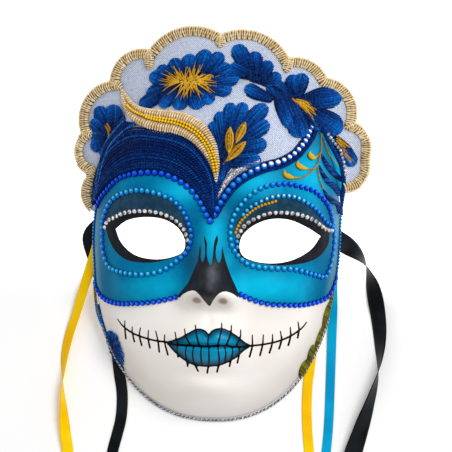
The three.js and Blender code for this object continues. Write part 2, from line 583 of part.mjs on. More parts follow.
add(mask, "face_shell", faceShell(), colours.white, 0.7);
add(mask, "crest_board", crestBoard(), colours.silver, 0.9);
add(mask, "headdress_cloth", headdressCloth(), colours.silver, 0.6);
add(mask, "crest_braid", crestBraid(), colours.gold, 0.5, 0.4);
add(mask, "hair_cords", hairCords(), colours.navy);
add(mask, "crescent", crescent(), colours.gold, 0.5, 0.3);
add(mask, "crescent_beads", crescentBeads(), colours.yellow, 0.3);
for (const [name, outline] of Object.entries(FLOWERS)) {
  add(mask, name, overlay(outline, ON_CLOTH, ON_CLOTH + APPLIQUE_HEIGHT), colours.royal);
}
add(mask, "brow_beads", strand([...BROW_LEFT.slice(0, -1), ...BROW_RIGHT], CABOCHON, 2), colours.royal, 0.2);
add(mask, "left_eye_ring", strand(LEFT_RING, SMALL_BEAD, 1.8, { closed: true }), colours.teal, 0.2);
add(mask, "right_eye_ring", strand(RIGHT_RING, SMALL_BEAD, 1.8, { closed: true }), colours.teal, 0.2);
add(mask, "right_inner_arc", strand(RIGHT_ARC, SMALL_BEAD, 1.8), colours.teal, 0.2);
add(mask, "left_crystals", strand(LEFT_CRYSTALS, SMALL_BEAD, 1.6), colours.crystal, 0.1);
add(mask, "right_crystals", strand(RIGHT_CRYSTALS, SMALL_BEAD, 1.6), colours.crystal, 0.1);
add(mask, "left_cheek_beads", strand(LEFT_CHEEK, CABOCHON - 0.4, 2), colours.royal, 0.2);
add(mask, "right_cheek_beads", strand(RIGHT_CHEEK, CABOCHON - 0.4, 2), colours.royal, 0.2);
add(mask, "left_side_beads", strand(LEFT_TRIM, SEED_BEAD, 1.4, { step: 4 }), colours.teal, 0.2);
add(mask, "right_side_beads", strand(RIGHT_TRIM, SEED_BEAD, 1.4, { step: 4 }), colours.teal, 0.2);
add(mask, "temple_crystals", strand(TEMPLE_CRYSTALS, SEED_BEAD, 1.4, { step: 4 }), colours.crystal, 0.1);
add(mask, "temple_cord", strand(TEMPLE_CORD, 1.6, 1.2, { step: 4 }), colours.navy);
add(mask, "gold_drops", goldDrops(), colours.yellow, 0.4);
TEMPLE_STRIPES.forEach((stripe, i) => {
  add(mask, `temple_stripe_${i + 1}`, strand(stripe, 1.6, 1, { step: 4 }), colours.navy);
});
add(mask, "jaw_rosette", overlay(ROSETTE, GAP, 2), colours.royal);
add(mask, "left_jaw_cord", strand(LEFT_JAW_CORD, 2, 1.4, { step: 4 }), colours.teal);
const oliveProfile = [[0.25, 1.4], [0.75, 1.4]];
const [oliveIn, oliveOut] = [along(OLIVE_INNER, 14), along(OLIVE_OUTER, 14)];
add(mask, "olive_trim", clearOfFace(raised(oliveOut, oliveIn, oliveProfile, faceHeight)), colours.olive);
add(mask, "chin_cord", chinCord(), colours.silver, 0.4, 0.6);
for (const [name, plan] of Object.entries(RIBBONS)) add(mask, name, ribbon(plan), plan.colour, 0.35);

export default mask;
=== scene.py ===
# %% [markdown]
# A skull-lady mask lies on its back on a pale table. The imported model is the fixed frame: every
# piece that is made below lies on the face or the headdress of that model, in the same metres.

# %% Load the frame
import math
import random

import bpy
import numpy as np
from mathutils import Matrix, Vector, geometry
from mathutils.kdtree import KDTree


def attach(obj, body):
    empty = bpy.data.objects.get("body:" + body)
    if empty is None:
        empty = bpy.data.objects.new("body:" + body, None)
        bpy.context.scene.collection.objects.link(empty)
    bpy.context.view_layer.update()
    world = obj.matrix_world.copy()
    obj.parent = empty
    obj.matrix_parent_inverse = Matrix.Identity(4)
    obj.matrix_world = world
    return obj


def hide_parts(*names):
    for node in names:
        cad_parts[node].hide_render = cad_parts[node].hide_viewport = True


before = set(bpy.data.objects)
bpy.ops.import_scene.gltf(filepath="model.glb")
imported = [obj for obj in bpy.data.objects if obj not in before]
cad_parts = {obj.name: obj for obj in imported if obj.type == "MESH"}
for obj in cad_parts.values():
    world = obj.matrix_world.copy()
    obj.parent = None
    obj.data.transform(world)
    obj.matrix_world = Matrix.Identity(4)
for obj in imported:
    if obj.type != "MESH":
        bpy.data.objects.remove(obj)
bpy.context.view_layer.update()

MM = 0.001  # all the numbers of the pieces are millimetres
print("solids in the frame:", len(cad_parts))

# %% [markdown]
# The camera stands three metres over the mask, a little to its right, and looks down through a
# long lens. At that distance a face keeps its proportions, as in a product photograph.

# %% Camera
CAMERA_YAW, CAMERA_ROLL = math.radians(3.5), math.radians(2.0)
CAMERA_DISTANCE = 3.0
FOCAL_LENGTH, FILM_WIDTH = 381.5, 36
AIM_HEIGHT = 0.01  # metres over the table, of the point that the camera looks at before it is shifted
SHIFT_RIGHT, SHIFT_DOWN = 0.00577, 0.00124  # metres, so that the mask sits in the picture as in the photo
toward = Vector((math.sin(CAMERA_YAW), 0, math.cos(CAMERA_YAW)))
level_right = Vector((math.cos(CAMERA_YAW), 0, -math.sin(CAMERA_YAW)))
level_up = Vector((0, 1, 0))
camera_right = level_right * math.cos(CAMERA_ROLL) + level_up * math.sin(CAMERA_ROLL)
camera_up = level_up * math.cos(CAMERA_ROLL) - level_right * math.sin(CAMERA_ROLL)

lens = bpy.data.cameras.new("camera")
lens.sensor_width, lens.lens = FILM_WIDTH, FOCAL_LENGTH
lens.clip_start, lens.clip_end = 0.1, 20
camera = bpy.data.objects.new("camera", lens)
bpy.context.collection.objects.link(camera)
turn = Matrix((camera_right, camera_up, toward)).transposed()
place = Vector((0, 0, AIM_HEIGHT)) + toward * CAMERA_DISTANCE
place += camera_right * SHIFT_RIGHT - camera_up * SHIFT_DOWN
camera.matrix_world = Matrix.Translation(place) @ turn.to_4x4()
bpy.context.scene.camera = camera
print("camera at", [round(v, 3) for v in place])

# %% [markdown]
# Both shader trees and Geometry Nodes trees are written as Python. A socket is wrapped so that
# sums and products of sockets add their own Math nodes, and one method adds any other node.

# %% Node writing
class Socket:
    """One output of a node. Arithmetic on it adds Math nodes to its tree."""

    def __init__(self, graph, link):
        self.graph, self.link = graph, link

    def math(self, operation, *values):
        """The result of a Math node."""
        return self.graph.node("ShaderNodeMath", {"operation": operation}, values)

    def __add__(self, other):
        return self.math("ADD", self, other)

    def __radd__(self, other):
        return self.math("ADD", other, self)

    def __sub__(self, other):
        return self.math("SUBTRACT", self, other)

    def __rsub__(self, other):
        return self.math("SUBTRACT", other, self)

    def __mul__(self, other):
        return self.math("MULTIPLY", self, other)

    def __rmul__(self, other):
        return self.math("MULTIPLY", other, self)

    def step(self, low, high):
        """0 below low, 1 above high, and soft between them."""
        settings = {"interpolation_type": "SMOOTHSTEP"}
        return self.graph.node("ShaderNodeMapRange", settings, {0: self, 1: low, 2: high})


class Graph:
    """A node tree that is filled by calls."""

    def __init__(self, tree):
        self.tree = tree

    def node(self, kind, settings=None, values=(), output=0):
        """A new node: first its settings, then the values or links of its sockets."""
        made = self.tree.nodes.new(kind)
        for key, value in (settings or {}).items():
            if key == "stops":
                for spot, (at, colour) in enumerate(value):
                    ramp = made.color_ramp.elements
                    stop = ramp[spot] if spot < 2 else ramp.new(at)
                    stop.position, stop.color = at, colour
            else:
                setattr(made, key, value)
        pairs = values.items() if isinstance(values, dict) else enumerate(values)
        for key, value in pairs:
            if isinstance(value, Socket):
                self.tree.links.new(value.link, made.inputs[key])
            else:
                made.inputs[key].default_value = value
        return Socket(self, made.outputs[output])

    def parts(self, vector):
        """The x, y and z of a vector."""
        made = self.tree.nodes.new("ShaderNodeSeparateXYZ")
        self.tree.links.new(vector.link, made.inputs[0])
        return [Socket(self, output) for output in made.outputs]


print("sockets and trees ready")

# %% Finishes
class Finish(Graph):
    """A material: a Principled shader and the nodes that feed it."""

    def __init__(self, name, **constants):
        self.material = bpy.data.materials.new(name)
        self.material.use_nodes = True
        super().__init__(self.material.node_tree)
        self.shader = self.tree.nodes["Principled BSDF"]
        self.shader.inputs["Specular IOR Level"].default_value = 0.08
        for key, value in constants.items():
            self.shader.inputs[key.replace("_", " ")].default_value = value

    def feed(self, name, value):
        """Link a value to an input of the shader."""
        self.tree.links.new(value.link, self.shader.inputs[name])

    def place(self):
        """Where a point of the surface is, in metres."""
        return self.node("ShaderNodeTexCoord", output="Object")

    def axes(self):
        """The object's own x and y, in metres."""
        return self.parts(self.place())[:2]

    def noise(self, scale, detail):
        """Clouds of 0 to 1. The scale is their number in a metre, more or less."""
        values = {"Vector": self.place(), "Scale": scale, "Detail": detail}
        return self.node("ShaderNodeTexNoise", None, values)

    def attribute(self, name):
        """A value that the points of the mesh store."""
        return self.node("ShaderNodeAttribute", {"attribute_name": name}, output="Fac")

    def mix(self, factor, first, second):
        """The first colour where the factor is 0, the second where it is 1."""
        settings = {"data_type": "RGBA", "clamp_factor": True}
        return self.node("ShaderNodeMix", settings, {0: factor, 6: first, 7: second}, output=2)

    def bump(self, height, distance, strength):
        """The distance is in metres, the height runs from 0 to 1."""
        values = {"Strength": strength, "Distance": distance, "Height": height}
        self.feed("Normal", self.node("ShaderNodeBump", None, values))


def paint(red, green, blue):
    """A colour as it looks on a screen, 0 to 255, as the linear colour that shaders use."""
    linear = [v / 12.92 if v <= 0.04045 else ((v + 0.055) / 1.055) ** 2.4
              for v in (red / 255, green / 255, blue / 255)]
    return (*linear, 1.0)


def speckled(name, scale, detail, dark, light, **constants):
    """A finish whose colour wanders between two paints."""
    finish = Finish(name, **constants)
    finish.feed("Base Color", finish.mix(finish.noise(scale, detail), dark, light))
    return finish


print("half grey as light:", round(paint(128, 128, 128)[0], 3))

# %% [markdown]
# The face is one height over the table for every point of the plan. The same formulas made the
# solids of the frame, so whatever is laid on this surface lies on them. The height is a dome
# with a nose, eye hollows, cheeks, lips and a chin added to it. It could be sculpted by hand, but
# a formula can be asked for its height and slope anywhere, and every trim below needs them.

# %% The surface of the face
HALF_WIDTH, CHIN, FOREHEAD, DEPTH, SQUARENESS = 77.0, 122.0, 90.0, 57.0, 2.3
WALL = 3.0


def ease(value, start, end):
    """0 at the start, 1 at the end, and smooth between them."""
    t = np.clip((value - start) / (end - start), 0, 1)
    return t * t * (3 - 2 * t)


def hill(x, y, at_x, at_y, wide, tall):
    """A soft round bump of height 1."""
    return np.exp(-((x - at_x) / wide) ** 2 - ((y - at_y) / tall) ** 2)


def seat(x, y):
    """The surface that the rim of the face and the headdress share."""
    bow = 25.5 * (1 - (x / HALF_WIDTH) ** 2) * ease(y, -60, -15)
    height = 11 * ease(y, -112, -60) + bow - 5 * ease(y, 80, 130)
    return np.where(y > -15, np.maximum(height, 2.9), height)


def reach(x, y):
    """0 in the middle of the face and 1 on its outline."""
    length = np.where(y < 0, CHIN, FOREHEAD)
    total = np.abs(x / HALF_WIDTH) ** SQUARENESS + np.abs(y / length) ** SQUARENESS
    return total ** (1 / SQUARENESS)


print("the face is", 2 * HALF_WIDTH, "by", CHIN + FOREHEAD, "mm in plan")

# %% Nose, eyes, cheeks and mouth
def lips(x, y):
    """How far the closed lips stand out, and the furrow between them."""
    taper = np.maximum(0, 1 - (x / 26.5) ** 2)
    above = y - (-75.6 + 1.2 * (1 - taper))
    bow = 3.9 * np.exp(-(x / 3) ** 2) * np.minimum(1, 3 * taper)
    edge = np.where(above > 0, 11.5 * taper ** 1.2 - bow, 12.2 * taper ** 1.2)
    across = np.abs(above) / np.maximum(edge, 0.001)
    roll = np.where(above > 0, 3.4, 4.6) * taper ** 0.8 * np.maximum(0, 1 - across ** 2.4)
    return roll - 4.2 * taper ** 0.6 * np.exp(-(above / 1.5) ** 2)


def features(x, y):
    """What the nose, eyes, cheeks, mouth and chin add to the dome."""
    side = np.abs(x)
    down = np.clip((14 - y) / 54, 0, 1)
    ridge = (2 + 24 * down ** 1.5) * np.exp(-(side / (8 + 4 * down)) ** 2.2)
    nose = ridge * ease(y, -55, -41) * (1 - ease(y, 0, 30)) + 3 * hill(x, y, 0, -40, 9.5, 7)
    wings = 8 * hill(side, y, 12.5, -45.5, 5.5, 6) - 2.6 * hill(side, y, 7.6, -47.6, 3.4, 2.2)
    eyes = 3 * hill(side, y, 34, 17, 20, 9) - 8 * hill(side, y, 36, -9, 20, 14)
    cheeks = 5.5 * hill(side, y, 44, -38, 20, 15)
    mouth = 7 * hill(x, y, 0, -74, 27, 19) - 1.2 * hill(x, y, 0, -60, 2.6, 6)
    corners = -1.2 * hill(side, y, 29, -76, 5, 5)
    chin = 15 * hill(x, y, 0, -109, 24, 13) - 3 * hill(x, y, 0, -95, 17, 5.5)
    return nose + wings + eyes + cheeks + mouth + corners + chin


def face_height(x, y, with_lips=True):
    """The outer skin over the table, in millimetres."""
    out = np.minimum(reach(x, y), 1)
    base = seat(x, y)
    top = DEPTH - 3 * ease(-y, 0, 60)
    details = features(x, y) + (lips(x, y) if with_lips else 0)
    return base + (top - base) * (1 - out ** 2.6) ** (1 / 1.5) + details * (1 - ease(out, 0.75, 0.98))


print("height between the eyes:", round(float(face_height(0.0, 0.0)), 1), "mm")

# %% Directions on the surface
def slopes(x, y, with_lips=True):
    """How steeply the face rises along x and along y."""
    step = 0.25
    return [(face_height(x + i, y + j, with_lips) - face_height(x - i, y - j, with_lips)) / (2 * step)
            for i, j in ((step, 0), (0, step))]


def unit(rows):
    """Every row of an array as a direction of length 1."""
    return rows / np.maximum(np.linalg.norm(rows, axis=1, keepdims=True), 1e-9)


def upright(points):
    """The directions that stand upright on the surface at plan points."""
    dx, dy = slopes(points[:, 0], points[:, 1])
    return unit(np.stack([-dx, -dy, np.ones_like(dx)], 1))


def at_height(flat, height):
    """Plan points as points in space. The height is a function of x and y."""
    return np.column_stack([flat, height(flat[:, 0], flat[:, 1])])


def laid(points, lift):
    """Plan points laid on the surface and lifted off it, in millimetres."""
    flat = np.asarray(points, float)[:, :2]
    return at_height(flat, face_height) + upright(flat) * np.reshape(lift, (-1, 1))


print("the left cheek faces", np.round(upright(np.array([[-50.0, -40.0]]))[0], 2))

# %% [markdown]
# Cords, strings of beads and painted edges follow lines that are given as a few marks each.
# Blender's curves could round them, but plain rows of points are easier to space evenly, to move
# sideways and to lay on the face.

# %% Lines over the plan
def curve_through(marks, spacing, closed=False):
    """Evenly spaced points on a smooth curve through the marks (centripetal Catmull-Rom)."""
    marks = np.asarray(marks, float)
    if closed:
        ends = np.vstack([marks[-1:], marks, marks[:2]])
    else:
        ends = np.vstack([2 * marks[0] - marks[1], marks, 2 * marks[-1] - marks[-2]])
    dense = []
    for p0, p1, p2, p3 in zip(ends, ends[1:], ends[2:], ends[3:]):
        gaps = [max(np.linalg.norm((b - a)[:3]), 1e-6) ** 0.5 for a, b in ((p0, p1), (p1, p2), (p2, p3))]
        t1 = gaps[0]
        t2, t3 = t1 + gaps[1], t1 + gaps[1] + gaps[2]
        t = np.linspace(t1, t2, 20, endpoint=False)[:, None]
        a1 = (t1 - t) / t1 * p0 + t / t1 * p1
        a2 = (t2 - t) / gaps[1] * p1 + (t - t1) / gaps[1] * p2
        a3 = (t3 - t) / gaps[2] * p2 + (t - t2) / gaps[2] * p3
        b1 = (t2 - t) / t2 * a1 + t / t2 * a2
        b2 = (t3 - t) / (t3 - t1) * a2 + (t - t1) / (t3 - t1) * a3
        dense.append((t2 - t) / gaps[1] * b1 + (t - t1) / gaps[1] * b2)
    dense.append(marks[:1] if closed else marks[-1:])
    evened = evenly(np.vstack(dense), spacing)
    return evened[:-1] if closed else evened


def evenly(points, spacing=1.0, count=None):
    """The same line with evenly spaced points."""
    points = np.asarray(points, float)
    gone = np.concatenate([[0], np.cumsum(np.linalg.norm(np.diff(points[:, :3], axis=0), axis=1))])
    count = count or max(2, round(gone[-1] / spacing) + 1)
    at = np.linspace(0, gone[-1], count)
    return np.column_stack([np.interp(at, gone, points[:, k]) for k in range(points.shape[1])])


def beside(points, distance, closed=False):
    """A plan line moved to the left of its own direction, with mitred corners."""
    points = np.asarray(points, float)[:, :2]
    before, after = np.roll(points, 1, 0), np.roll(points, -1, 0)
    if not closed:
        before[0], after[-1] = 2 * points[0] - points[1], 2 * points[-1] - points[-2]
    into, out = unit(points - before), unit(after - points)
    way = unit(into + out)
    turn = np.maximum(0.6, (way * into).sum(1))[:, None]
    return points + np.column_stack([-way[:, 1], way[:, 0]]) * distance / turn


print("a line through three marks:", len(curve_through([(0, 0), (5, 2), (10, 0)], 1.0)), "points")

# %% [markdown]
# Paint, cloth and boards are areas with an outline. A honeycomb of points is spread inside and
# joined by a Delaunay triangulation, which makes even triangles and keeps the edge and the holes.

# %% Areas of the plan
def inside(points, outline):
    """Which plan points lie in a closed outline."""
    points, outline = np.asarray(points)[:, :2], np.asarray(outline)[:, :2]
    found = np.zeros(len(points), bool)
    for (x1, y1), (x2, y2) in zip(outline, np.roll(outline, -1, 0)):
        if y1 != y2:
            straddles = (points[:, 1] < y1) != (points[:, 1] < y2)
            crossing = x1 + (points[:, 1] - y1) * (x2 - x1) / (y2 - y1)
            found ^= straddles & (points[:, 0] < crossing)
    return found


def distance_to(points, line, closed=False):
    """Plan distance of each point from a line."""
    points, line = np.asarray(points)[:, :2], np.asarray(line)[:, :2]
    ends = np.roll(line, -1, 0) if closed else line[1:]
    best = np.full(len(points), 1e9)
    for start, end in zip(line, ends):
        run = end - start
        share = np.clip(((points - start) @ run) / max(run @ run, 1e-12), 0, 1)
        best = np.minimum(best, np.linalg.norm(points - start - share[:, None] * run, axis=1))
    return best


def hexagons(outline, pitch, margin=0.0):
    """A honeycomb of plan points inside an outline."""
    low, high = np.min(outline, 0), np.max(outline, 0)
    rows = np.arange(low[1], high[1], pitch * 0.866)
    grid = [(x + (pitch / 2 if k % 2 else 0), y) for k, y in enumerate(rows)
            for x in np.arange(low[0], high[0], pitch)]
    grid = np.array(grid)
    grid = grid[inside(grid, outline)]
    return grid[distance_to(grid, outline, True) > margin]


def filled(outline, holes=(), extra=()):
    """Plan points and triangles that fill an outline around its holes. The loops come first."""
    loops = [np.asarray(outline)[:, :2], *[np.asarray(hole)[:, :2] for hole in holes]]
    points = np.vstack([*loops, *[np.asarray(e)[:, :2] for e in extra if len(e)]])
    edges, start = [], 0
    for loop in loops:
        edges += [(start + k, start + (k + 1) % len(loop)) for k in range(len(loop))]
        start += len(loop)
    made = geometry.delaunay_2d_cdt([Vector(p) for p in points.tolist()], edges, [], 0, 1e-5, False)
    flat, triangles = np.array([v[:] for v in made[0]]), np.array(made[2])
    middle = flat[triangles].mean(1)
    keep = inside(middle, loops[0])
    for hole in loops[1:]:
        keep &= ~inside(middle, hole)
    a, b, c = (flat[triangles[:, k]] for k in range(3))
    area = (b[:, 0] - a[:, 0]) * (c[:, 1] - a[:, 1]) - (b[:, 1] - a[:, 1]) * (c[:, 0] - a[:, 0])
    triangles[area < 0] = triangles[area < 0][:, ::-1]
    return flat, triangles[keep & (np.abs(area) > 1e-7)]


print("a square of 10 mm:", len(filled([(0, 0), (10, 0), (10, 10), (0, 10)])[1]), "triangles")

# %% [markdown]
# A mesh is a list of points and a list of faces that name those points by number. These helpers make such
# lists into pieces of the mask, and hide the solids of the frame that a piece stands for.

# %% Meshes and pieces
def new_object(name, points, edges, faces, attributes):
    """A mesh object from points in millimetres. An attribute has a number or a vector for each point."""
    mesh = bpy.data.meshes.new(name)
    mesh.from_pydata((np.asarray(points, float) * MM).tolist(), edges, faces)
    for key, values in attributes.items():
        kind, field = ("FLOAT", "value") if np.ndim(values) == 1 else ("FLOAT_VECTOR", "vector")
        mesh.attributes.new(key, kind, "POINT").data.foreach_set(field, np.ravel(values).astype(float))
    made = bpy.data.objects.new(name, mesh)
    bpy.context.collection.objects.link(made)
    return made


def add_piece(name, points, faces, finish, smooth=True, attributes=None):
    """A piece of the scene from points in millimetres and faces."""
    piece = new_object(name, points, [], [tuple(map(int, f)) for f in faces], attributes or {})
    piece.data.polygons.foreach_set("use_smooth", [smooth] * len(piece.data.polygons))
    piece.data.materials.append(finish.material)
    return piece


def keep(piece, slot, *nodes):
    """The piece joins the mask and stands for the named solids. Its slot is not used."""
    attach(piece, "root")
    if nodes:
        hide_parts(*nodes)
    return piece


def walls_between(loops, below):
    """Upright faces between two skins whose first points are the same loops.

    The lower skin's points begin at the index given by below. The first loop is the outline, the
    others are holes, and their walls look the other way."""
    faces, start = [], 0
    for loop in loops:
        ring = list(range(start, start + len(loop)))
        area = sum(a[0] * b[1] - b[0] * a[1] for a, b in zip(loop, np.roll(loop, -1, 0)))
        order = ring if (area > 0) == (start == 0) else ring[::-1]
        faces += [(a + below, b + below, b, a) for a, b in zip(order, order[1:] + order[:1])]
        start += len(loop)
    return faces


def slab(outline, top, bottom):
    """A solid between two heights over the plan, with upright sides."""
    pitch = 3.0
    flat, triangles = filled(outline, extra=[hexagons(outline, pitch, pitch * 0.4)])
    skins = [at_height(flat, height) for height in (top, bottom)]
    sides = walls_between([outline], len(flat))
    return np.vstack(skins), [*triangles, *(triangles[:, ::-1] + len(flat)), *sides]


def swept(rings):
    """One skin through a row of equal rings, closed at both ends."""
    count, size = rings.shape[:2]
    faces = []
    for here in range(0, (count - 1) * size, size):
        ahead = here + size
        faces += [(here + k, here + (k + 1) % size, ahead + (k + 1) % size, ahead + k) for k in range(size)]
    faces += [tuple(range(size))[::-1], tuple(range((count - 1) * size, count * size))]
    return rings.reshape(-1, 3), faces


print("mesh helpers ready")

# %% [markdown]
# Five satin ribbons are glued under the rim of the mask and come out at its sides. A ribbon is a flat strip,
# so each one is swept along a given route: where it is, and how far it is turned on edge. A cloth simulation
# could let them fall, but then they wouldn't lie as in the photo.
# Ribbons are set first, because everything else only has to stay clear of them.

# %% Ribbons
RIBBON_THICKNESS = 0.4
RIBBONS = {
    "ribbon_black_left": (7.0, "black_ribbon", [
        (-72.5, -0.5, 13.1, 22), (-75.6, -3.2, 11, 12), (-79, -6.8, 9, 0), (-80.8, -11, 7.8, 0),
        (-80.2, -15.8, 7, 0), (-77, -25, 5.4, 0), (-72, -40, 3, 0), (-66, -58, 1.4, 0),
        (-61.6, -76, 0.5, 0), (-60, -87.5, 0.5, 0), (-58.5, -97, 0.5, 0), (-56.7, -106.4, 0.5, 0),
        (-56.2, -115.8, 0.5, 0), (-56.8, -125.2, 0.5, 0), (-58.8, -134.7, 0.5, 0), (-61.3, -146, 0.5, 0),
        (-62, -166, 0.5, 0), (-56, -186, 0.5, 0), (-46, -200, 0.5, 0)]),
    "ribbon_black_right": (12.0, "black_ribbon", [
        (71.5, -5.4, 13.4, -14), (74.5, -6.3, 11.5, -14), (77.5, -8, 9.7, -15), (82.5, -11, 8.2, -25),
        (88.8, -15.8, 7.3, -55), (93.5, -21.3, 6.9, -85), (96.3, -27.5, 6.7, -108), (98.7, -35, 6.3, -134),
        (100.9, -44.2, 5.3, -146), (102.8, -53.5, 4.9, -142), (104.1, -62.8, 4.9, -136),
        (104.7, -72.2, 5.4, -125), (104.7, -81.5, 6.1, -108), (103.8, -90.9, 6.3, -87),
        (101.8, -100, 6.2, -72), (99.1, -109.8, 5.7, -60), (96.3, -119.3, 4.9, -46), (93.5, -128.9, 4, -36),
        (90.7, -138.4, 3, -25), (86.6, -156, 1.5, -9), (84, -172.8, 0.6, 0), (86, -194.6, 0.5, 0)]),
    "ribbon_yellow_left": (7.2, "yellow_ribbon", [
        (-73, -9, 12.8, 28), (-74.9, -17, 11, 28), (-77.7, -26.8, 9.2, 28), (-81.9, -41.4, 7.5, 33),
        (-84.5, -50.9, 6.4, 36), (-87.1, -60.4, 5.2, 40), (-90, -69.9, 4.2, 40), (-92.3, -79.4, 3.4, 42),
        (-93.6, -88.9, 3.5, 53), (-93.9, -98.3, 3.8, 75), (-94, -107.7, 4, 100), (-93.2, -117, 3.6, 118),
        (-92.3, -126.4, 3, 140), (-91.2, -135.9, 1.9, 158), (-89.6, -146.2, 1, 172), (-89, -166, 0.5, 180),
        (-94, -184, 0.5, 180)]),
    "ribbon_yellow_right": (6.2, "yellow_ribbon", [
        (70, -46, 10.7, -12), (67, -56, 8, -8), (63.4, -69, 3.2, 0), (61.8, -80, 0.8, 0),
        (60.8, -90.5, 0.5, 0), (60.1, -98, 0.5, 0), (59.9, -104, 0.5, 0), (59.9, -111.5, 0.5, 0),
        (60.3, -120.8, 0.5, 0), (61.1, -130.2, 0.5, 0), (62.2, -139.5, 0.5, 0), (62.7, -150, 0.5, 0),
        (62, -162, 0.5, 0), (59.8, -173, 0.5, 0), (56, -184, 0.5, 0)]),
    "ribbon_blue_right": (5.8, "blue_ribbon", [
        (73, -14.6, 12.7, -28), (74, -24, 9.8, -20), (73.9, -36.8, 6.5, -10), (74.3, -51.2, 3, 0),
        (74.2, -64, 1.4, 0), (74.2, -75, 0.8, 0), (74.2, -87.3, 0.6, 0), (74.2, -96, 0.5, 0),
        (74.2, -105.6, 0.5, 0), (74.2, -113, 0.5, 0), (74.1, -120.6, 0.5, 0), (73.8, -129.7, 0.5, 0),
        (73.2, -139.1, 0.5, 0), (72.3, -150, 0.5, 0), (71.6, -162, 0.5, 0), (69, -182, 0.5, 0)]),
}


def satin(name, low, high, roughness=0.35):
    """Woven satin: a fine grain of threads, and slow changes of brightness."""
    finish = Finish(name, Roughness=roughness, Specular_IOR_Level=0.06)
    cloud = finish.noise(45, 2)
    finish.feed("Base Color", finish.mix(cloud.step(0.35, 0.65), low, high))
    finish.bump(finish.noise(2600, 1), 0.00012, 0.6)
    return finish


RIBBON_FINISHES = {
    "black_ribbon": satin("satin black", paint(12, 14, 17), paint(26, 30, 34), 0.38),
    "yellow_ribbon": satin("satin yellow", paint(250, 190, 0), paint(255, 212, 2)),
    "blue_ribbon": satin("satin blue", paint(0, 146, 198), paint(0, 166, 214)),
}


def ribbon(width, route):
    """The rings of a ribbon and the line through their middles."""
    line = curve_through(route, 2.0)
    middle, turn = line[:, :3], np.radians(line[:, 3])[:, None]
    ahead = unit(np.gradient(middle, axis=0))
    left = unit(np.cross([0, 0, 1], ahead))
    face = np.cross(ahead, left)
    side = left * np.cos(turn) + face * np.sin(turn)
    out = face * np.cos(turn) - left * np.sin(turn)
    across = np.concatenate([np.linspace(1, -1, 9), np.linspace(-1, 1, 9)]) * width / 2
    lift = np.repeat([0.5, -0.5], 9) * RIBBON_THICKNESS
    rings = middle[:, None] + side[:, None] * across[None, :, None] + out[:, None] * lift[None, :, None]
    return rings, middle


for name, (width, slot, route) in RIBBONS.items():
    rings, middle = ribbon(width, route)
    points, faces = swept(rings[:, ::-1])
    piece = keep(add_piece("satin_" + name, points, faces, RIBBON_FINISHES[slot]), slot, name)
    (middle[0] * MM).tolist()
    width * MM
    (middle * MM).tolist()

# %% [markdown]
# The face is painted before it is trimmed: a cyan band round the eyes, charcoal lids and nose, and
# a stitched mouth in black ink. The outlines of these areas are drawn here, as seen from above.

# %% Outlines of the paint
NOSE_TOP = [(-7.5, -22.9), (-7.1, -18.5), (-6.4, -12.7), (-5.6, -18.4), (-5.6, -20.9), (-4.2, -23.7),
            (-3.1, -20.5), (-3.3, -14), (-4.4, -7.5), (-2.4, -11.2), (-1.4, -20.5), (1, -25.4),
            (1.9, -20.3), (2.3, -11.6), (3.7, -7), (4.5, -9.1), (3.6, -15.9), (4.2, -21.1),
            (5.8, -23.8), (6.9, -21), (7.1, -13.6), (8.3, -18.1), (10.2, -24.3), (13.5, -32.7),
            (16.5, -38.8), (18, -42.2)]
NOSE_SIDE = [(-19.8, -45.1), (-17.7, -42.5), (-13.3, -36.8), (-10.1, -29.6), (-7.9, -24)]
NOSE_UNDER = [(-19.8, -45.1), (-19.1, -46.4), (-15.7, -43.7), (-10.3, -41.4), (-7.8, -41.5), (-5.2, -43.5),
              (-1.7, -48.4), (0.3, -50.6), (3.5, -46.5), (7.5, -42.2), (10.6, -41.2), (14.7, -42.5),
              (17.9, -44.9)]
CHEEK_LEFT = [(-74.5, -39.5), (-73, -42.5), (-71, -46), (-67.5, -49), (-61.5, -51), (-55.5, -51.5),
              (-49, -51), (-42, -50.5), (-35, -49.5), (-28, -48), (-21, -46)]
CHEEK_RIGHT = [(19, -43), (25, -45.5), (32, -47.5), (39, -48.5), (46, -48.5), (52, -48.5), (58, -48),
               (62.5, -47), (67, -45.5), (71, -43), (73.5, -38.5), (75.5, -31)]
RING_LEFT = [(-69.5, -9), (-69.5, -1.5), (-67.5, 5.5), (-65, 10.5), (-60.5, 15), (-54.5, 17.5),
             (-47.5, 19), (-39.5, 18.5), (-31, 16.5), (-23.5, 13), (-18, 7), (-14, -0.5), (-12, -8.5),
             (-14.5, -17.5), (-21, -24), (-28, -29), (-35.5, -32), (-44, -33), (-52.5, -32.5),
             (-59.5, -31), (-64.5, -28.5), (-67.5, -22.5), (-69, -16)]
STONES_LEFT = [(-68, -4.5), (-66, -0.5), (-61.5, 2), (-56.5, 4.5), (-49.5, 6), (-42.5, 6.5), (-35, 6),
               (-29, 4.5), (-23, 1.5), (-17.5, -4), (-15, -10.5)]
STONES_RIGHT = [(16, -7), (19, -1.5), (23.5, 2.5), (30, 6), (36.5, 8), (44, 8.5), (51, 8), (57, 6.5),
                (62, 4.5), (66, 1.5), (69.5, -1), (72.5, -1.5)]
ARC_RIGHT = [(19, 6.5), (23, 11), (30, 15), (36.5, 17.5), (43.5, 18.5), (50, 18), (56, 15.5), (61, 12.5),
             (65.5, 8), (69, 3.5), (72.5, 1)]
LINER_LEFT = [(-67.9, -4.7), (-66.9, -6.9), (-65.2, -11.8), (-62, -17.2), (-57.7, -21.5), (-52.3, -24.3),
              (-45.3, -25.4), (-38.6, -25.4), (-31.9, -24.4), (-24.8, -22.2), (-18.8, -19), (-16.1, -16.7),
              (-14.2, -13.3), (-13.8, -10.5)]
